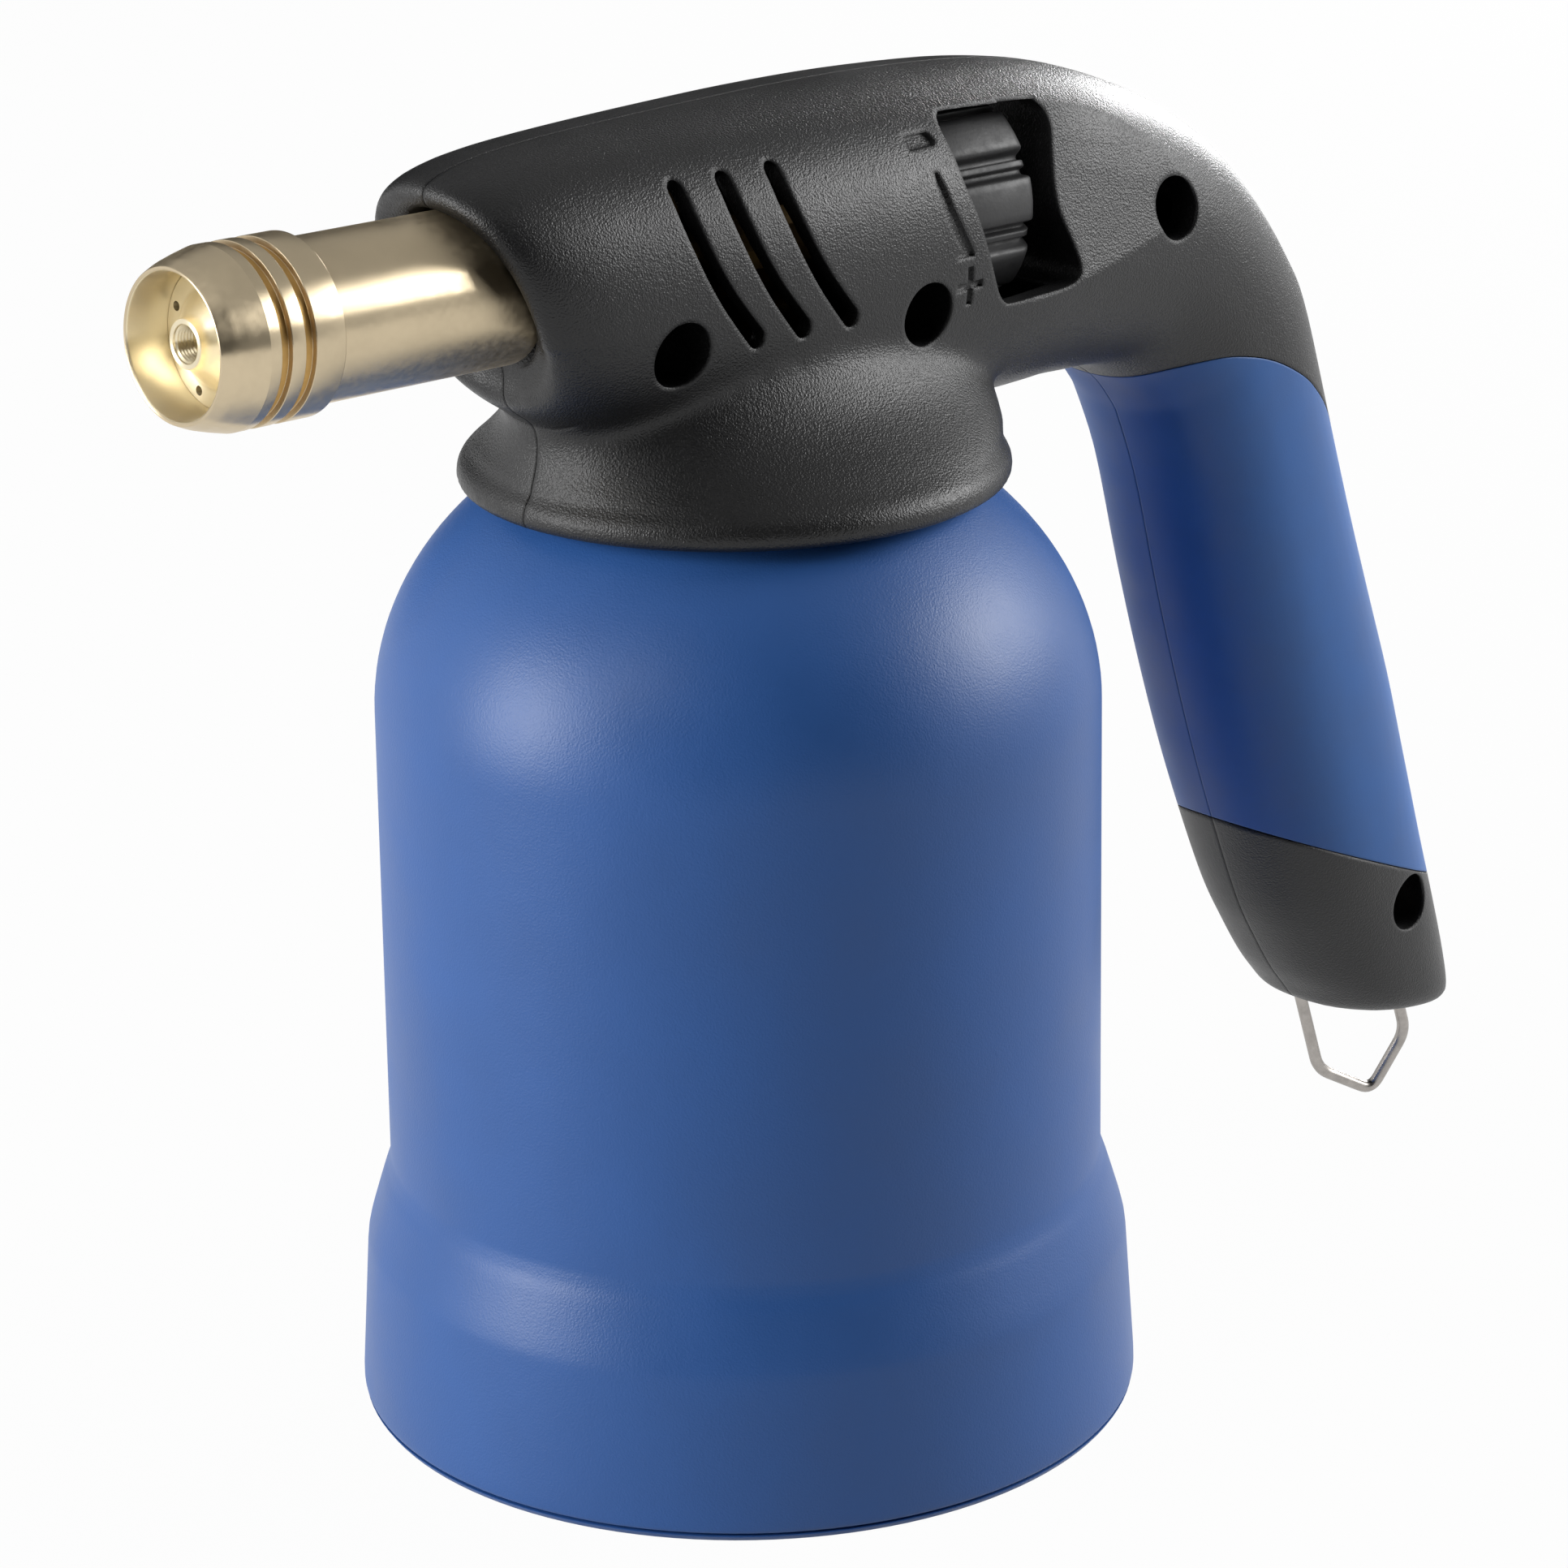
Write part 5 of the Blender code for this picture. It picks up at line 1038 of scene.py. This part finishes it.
class BLOWLAMP_OT_inside(bpy.types.Operator):
    """Give the parts inside the bell and the shell their finishes; the brass ones are darkened as
    painted shade.
    """

    bl_idname = "blowlamp.inside"
    bl_label = "Inner parts"

    def execute(self, context):
        gold = context.scene.blowlamp_colours.gold
        # Painted shade: the brass parts inside the shell and the bell take the bare groove brass
        # darkened to a fifth, so that they look dark inside; their finish is also rougher
        dull = turned_brass("shaded_dull_brass", scaled(gold, 0.2), 0.5, 0.65)
        rubber = seal_rubber()
        steel = bpy.data.materials["plated_steel"]
        finishes = {
            "gas_cartridge": can_lacquer(), "cartridge_gasket": rubber, "spindle_seal": rubber,
            "piercing_needle": steel, "lock_nut": steel, "valve_spindle": steel,
            "piercing_socket": dull, "valve_body": dull, "packing_nut": dull, "gas_jet": dull,
            "mixing_pipe": dull,
        }
        for node, material in finishes.items():
            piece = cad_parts[node]
            if not piece.material_slots:
                piece.data.materials.append(material)
            piece.material_slots[0].link = "OBJECT"
            piece.material_slots[0].material = material
        return {"FINISHED"}


def seen_directly(tree):
    """One for what the camera sees, also in a mirror or through glass."""
    rays = tree.nodes.new("ShaderNodeLightPath").outputs
    seen = rays["Is Camera Ray"]
    for name in ("Is Glossy Ray", "Is Transmission Ray"):
        larger = add_node(tree, "Math", {0: seen, 1: rays[name]}, operation="MAXIMUM")
        seen = larger.outputs["Value"]
    return seen


def white_floor():
    """Pale floor that looks white from above, keeps the shadow and is clear from below."""
    made = bpy.data.materials.new("pale_floor")
    made.use_nodes = True
    tree = made.node_tree
    ground = tree.nodes["Principled BSDF"]
    ground.inputs["Base Color"].default_value = (*FLOOR_COLOUR, 1.0)
    ground.inputs["Roughness"].default_value = 0.9
    ground.inputs["Specular IOR Level"].default_value = 0.0
    white = add_node(
        tree, "Math", {0: seen_directly(tree), 1: FLOOR_WHITE}, operation="MULTIPLY")
    glow = add_node(tree, "Emission", {})
    above = add_node(tree, "MixShader", {
        "Fac": white.outputs["Value"], 1: ground.outputs["BSDF"], 2: glow.outputs["Emission"]})
    facing = add_node(tree, "NewGeometry", {})
    clear = add_node(tree, "BsdfTransparent", {})
    sides = add_node(tree, "MixShader", {
        "Fac": facing.outputs["Backfacing"], 1: above.outputs["Shader"], 2: clear.outputs["BSDF"]})
    tree.links.new(sides.outputs["Shader"], tree.nodes["Material Output"].inputs["Surface"])
    return made


def white_world():
    """A background that is seen white and gives little light."""
    world = bpy.data.worlds.new("studio")
    world.use_nodes = True
    tree = world.node_tree
    ground = tree.nodes["Background"]
    ground.inputs["Color"].default_value = (1.0, 1.0, 1.0, 1.0)
    level = add_node(tree, "MapRange", {"To Min": WORLD_LIGHT, "Value": seen_directly(tree)})
    tree.links.new(level.outputs["Result"], ground.inputs["Strength"])
    return world


def softbox(name, azimuth, elevation, distance, size, power):
    """A rectangular lamp aimed at the blowlamp's middle."""
    turn, rise = math.radians(azimuth), math.radians(elevation)
    away = Vector((
        math.sin(turn) * math.cos(rise), -math.cos(turn) * math.cos(rise), math.sin(rise)))
    clear_selection()
    bpy.ops.object.light_add(type="AREA", location=LAMP_TARGET + away * distance)
    lamp = bpy.context.object
    lamp.name = name
    lamp.rotation_euler = (-away).to_track_quat("-Z", "Y").to_euler()
    lamp.data.shape = "RECTANGLE"
    lamp.data.size, lamp.data.size_y = size
    lamp.data.energy = power


def reflected_card(name, toward, distance, size, level):
    """A card of an even brightness that is seen in reflections only."""
    clear_selection()
    away = Vector(toward).normalized()
    bpy.ops.mesh.primitive_plane_add(size=1.0, location=CARD_CENTRE + away * distance)
    card = bpy.context.object
    card.scale = (*size, 1.0)
    card.rotation_euler = away.to_track_quat("Z", "Y").to_euler()
    card = named(name)
    shade = bpy.data.materials.new(name)
    shade.use_nodes = True
    tree = shade.node_tree
    glow = add_node(tree, "Emission", {"Strength": level})
    tree.links.new(glow.outputs["Emission"], tree.nodes["Material Output"].inputs["Surface"])
    card.data.materials.append(shade)
    card.visible_camera = False
    card.visible_diffuse = False
    card.visible_shadow = False


def photo_camera():
    """A camera that stands where the photograph was taken from."""
    ahead = Vector((
        math.sin(YAW) * math.cos(PITCH), math.cos(YAW) * math.cos(PITCH), -math.sin(PITCH)))
    right = Vector((math.cos(YAW), -math.sin(YAW), 0.0))
    up = right.cross(ahead)
    turned_right = math.cos(ROLL) * right + math.sin(ROLL) * up
    turned_up = math.cos(ROLL) * up - math.sin(ROLL) * right
    rows = Matrix((turned_right, turned_up, -ahead)).transposed().to_4x4()
    around = Matrix.Rotation(CAMERA_AZIMUTH, 4, "Z")
    bpy.ops.object.camera_add()
    camera = bpy.context.object
    camera.name = "camera"
    camera.data.sensor_width = SENSOR_WIDTH
    camera.data.lens = FOCAL_PIXELS / PHOTO_WIDTH * SENSOR_WIDTH
    camera.data.clip_start = 0.01
    camera.matrix_world = around @ Matrix.Translation(CAMERA_PLACE) @ rows
    bpy.context.scene.camera = camera


class BLOWLAMP_OT_stage(bpy.types.Operator):
    """Set up the floor, the background, the lamps, the cards and the camera."""

    bl_idname = "blowlamp.stage"
    bl_label = "Stage"

    def execute(self, context):
        clear_selection()
        bpy.ops.mesh.primitive_plane_add(size=8.0, location=(0.0, 0.0, -0.0001))
        floor = named("floor")
        floor.data.materials.append(white_floor())
        context.scene.world = white_world()
        for lamp in LAMPS:
            softbox(*lamp)
        for card in CARDS:
            reflected_card(*card)
        photo_camera()
        return {"FINISHED"}


STEPS = (
    BLOWLAMP_OT_shell, BLOWLAMP_OT_bell, BLOWLAMP_OT_base_cap, BLOWLAMP_OT_burner,
    BLOWLAMP_OT_knob, BLOWLAMP_OT_screws, BLOWLAMP_OT_hook, BLOWLAMP_OT_inside,
    BLOWLAMP_OT_stage,
)


class BLOWLAMP_PT_panel(bpy.types.Panel):
    """The blowlamp's sizes, colours and steps in the sidebar."""

    bl_idname = "BLOWLAMP_PT_panel"
    bl_label = "Blowlamp"
    bl_space_type = "VIEW_3D"
    bl_region_type = "UI"
    bl_category = "Blowlamp"

    def draw(self, context):
        for group in (context.scene.blowlamp_sizes, context.scene.blowlamp_colours):
            column = self.layout.column()
            for name in group.__annotations__:
                column.prop(group, name)
        for step in STEPS:
            self.layout.operator(step.bl_idname)


CLASSES = (BlowlampSizes, BlowlampColours, *STEPS, BLOWLAMP_PT_panel)


def register():
    for item in CLASSES:
        bpy.utils.register_class(item)
    bpy.types.Scene.blowlamp_sizes = bpy.props.PointerProperty(type=BlowlampSizes)
    bpy.types.Scene.blowlamp_colours = bpy.props.PointerProperty(type=BlowlampColours)


def unregister():
    del bpy.types.Scene.blowlamp_colours
    del bpy.types.Scene.blowlamp_sizes
    for item in reversed(CLASSES):
        bpy.utils.unregister_class(item)


def main():
    """Make every piece and the stage."""
    register()
    bpy.context.scene.view_settings.view_transform = "Standard"
    bpy.ops.blowlamp.shell()
    bpy.ops.blowlamp.bell()
    bpy.ops.blowlamp.base_cap()
    bpy.ops.blowlamp.burner()
    bpy.ops.blowlamp.knob()
    bpy.ops.blowlamp.screws()
    bpy.ops.blowlamp.hook()
    bpy.ops.blowlamp.inside()
    bpy.ops.blowlamp.stage()
    clear_selection()


if __name__ == "__main__":
    main()
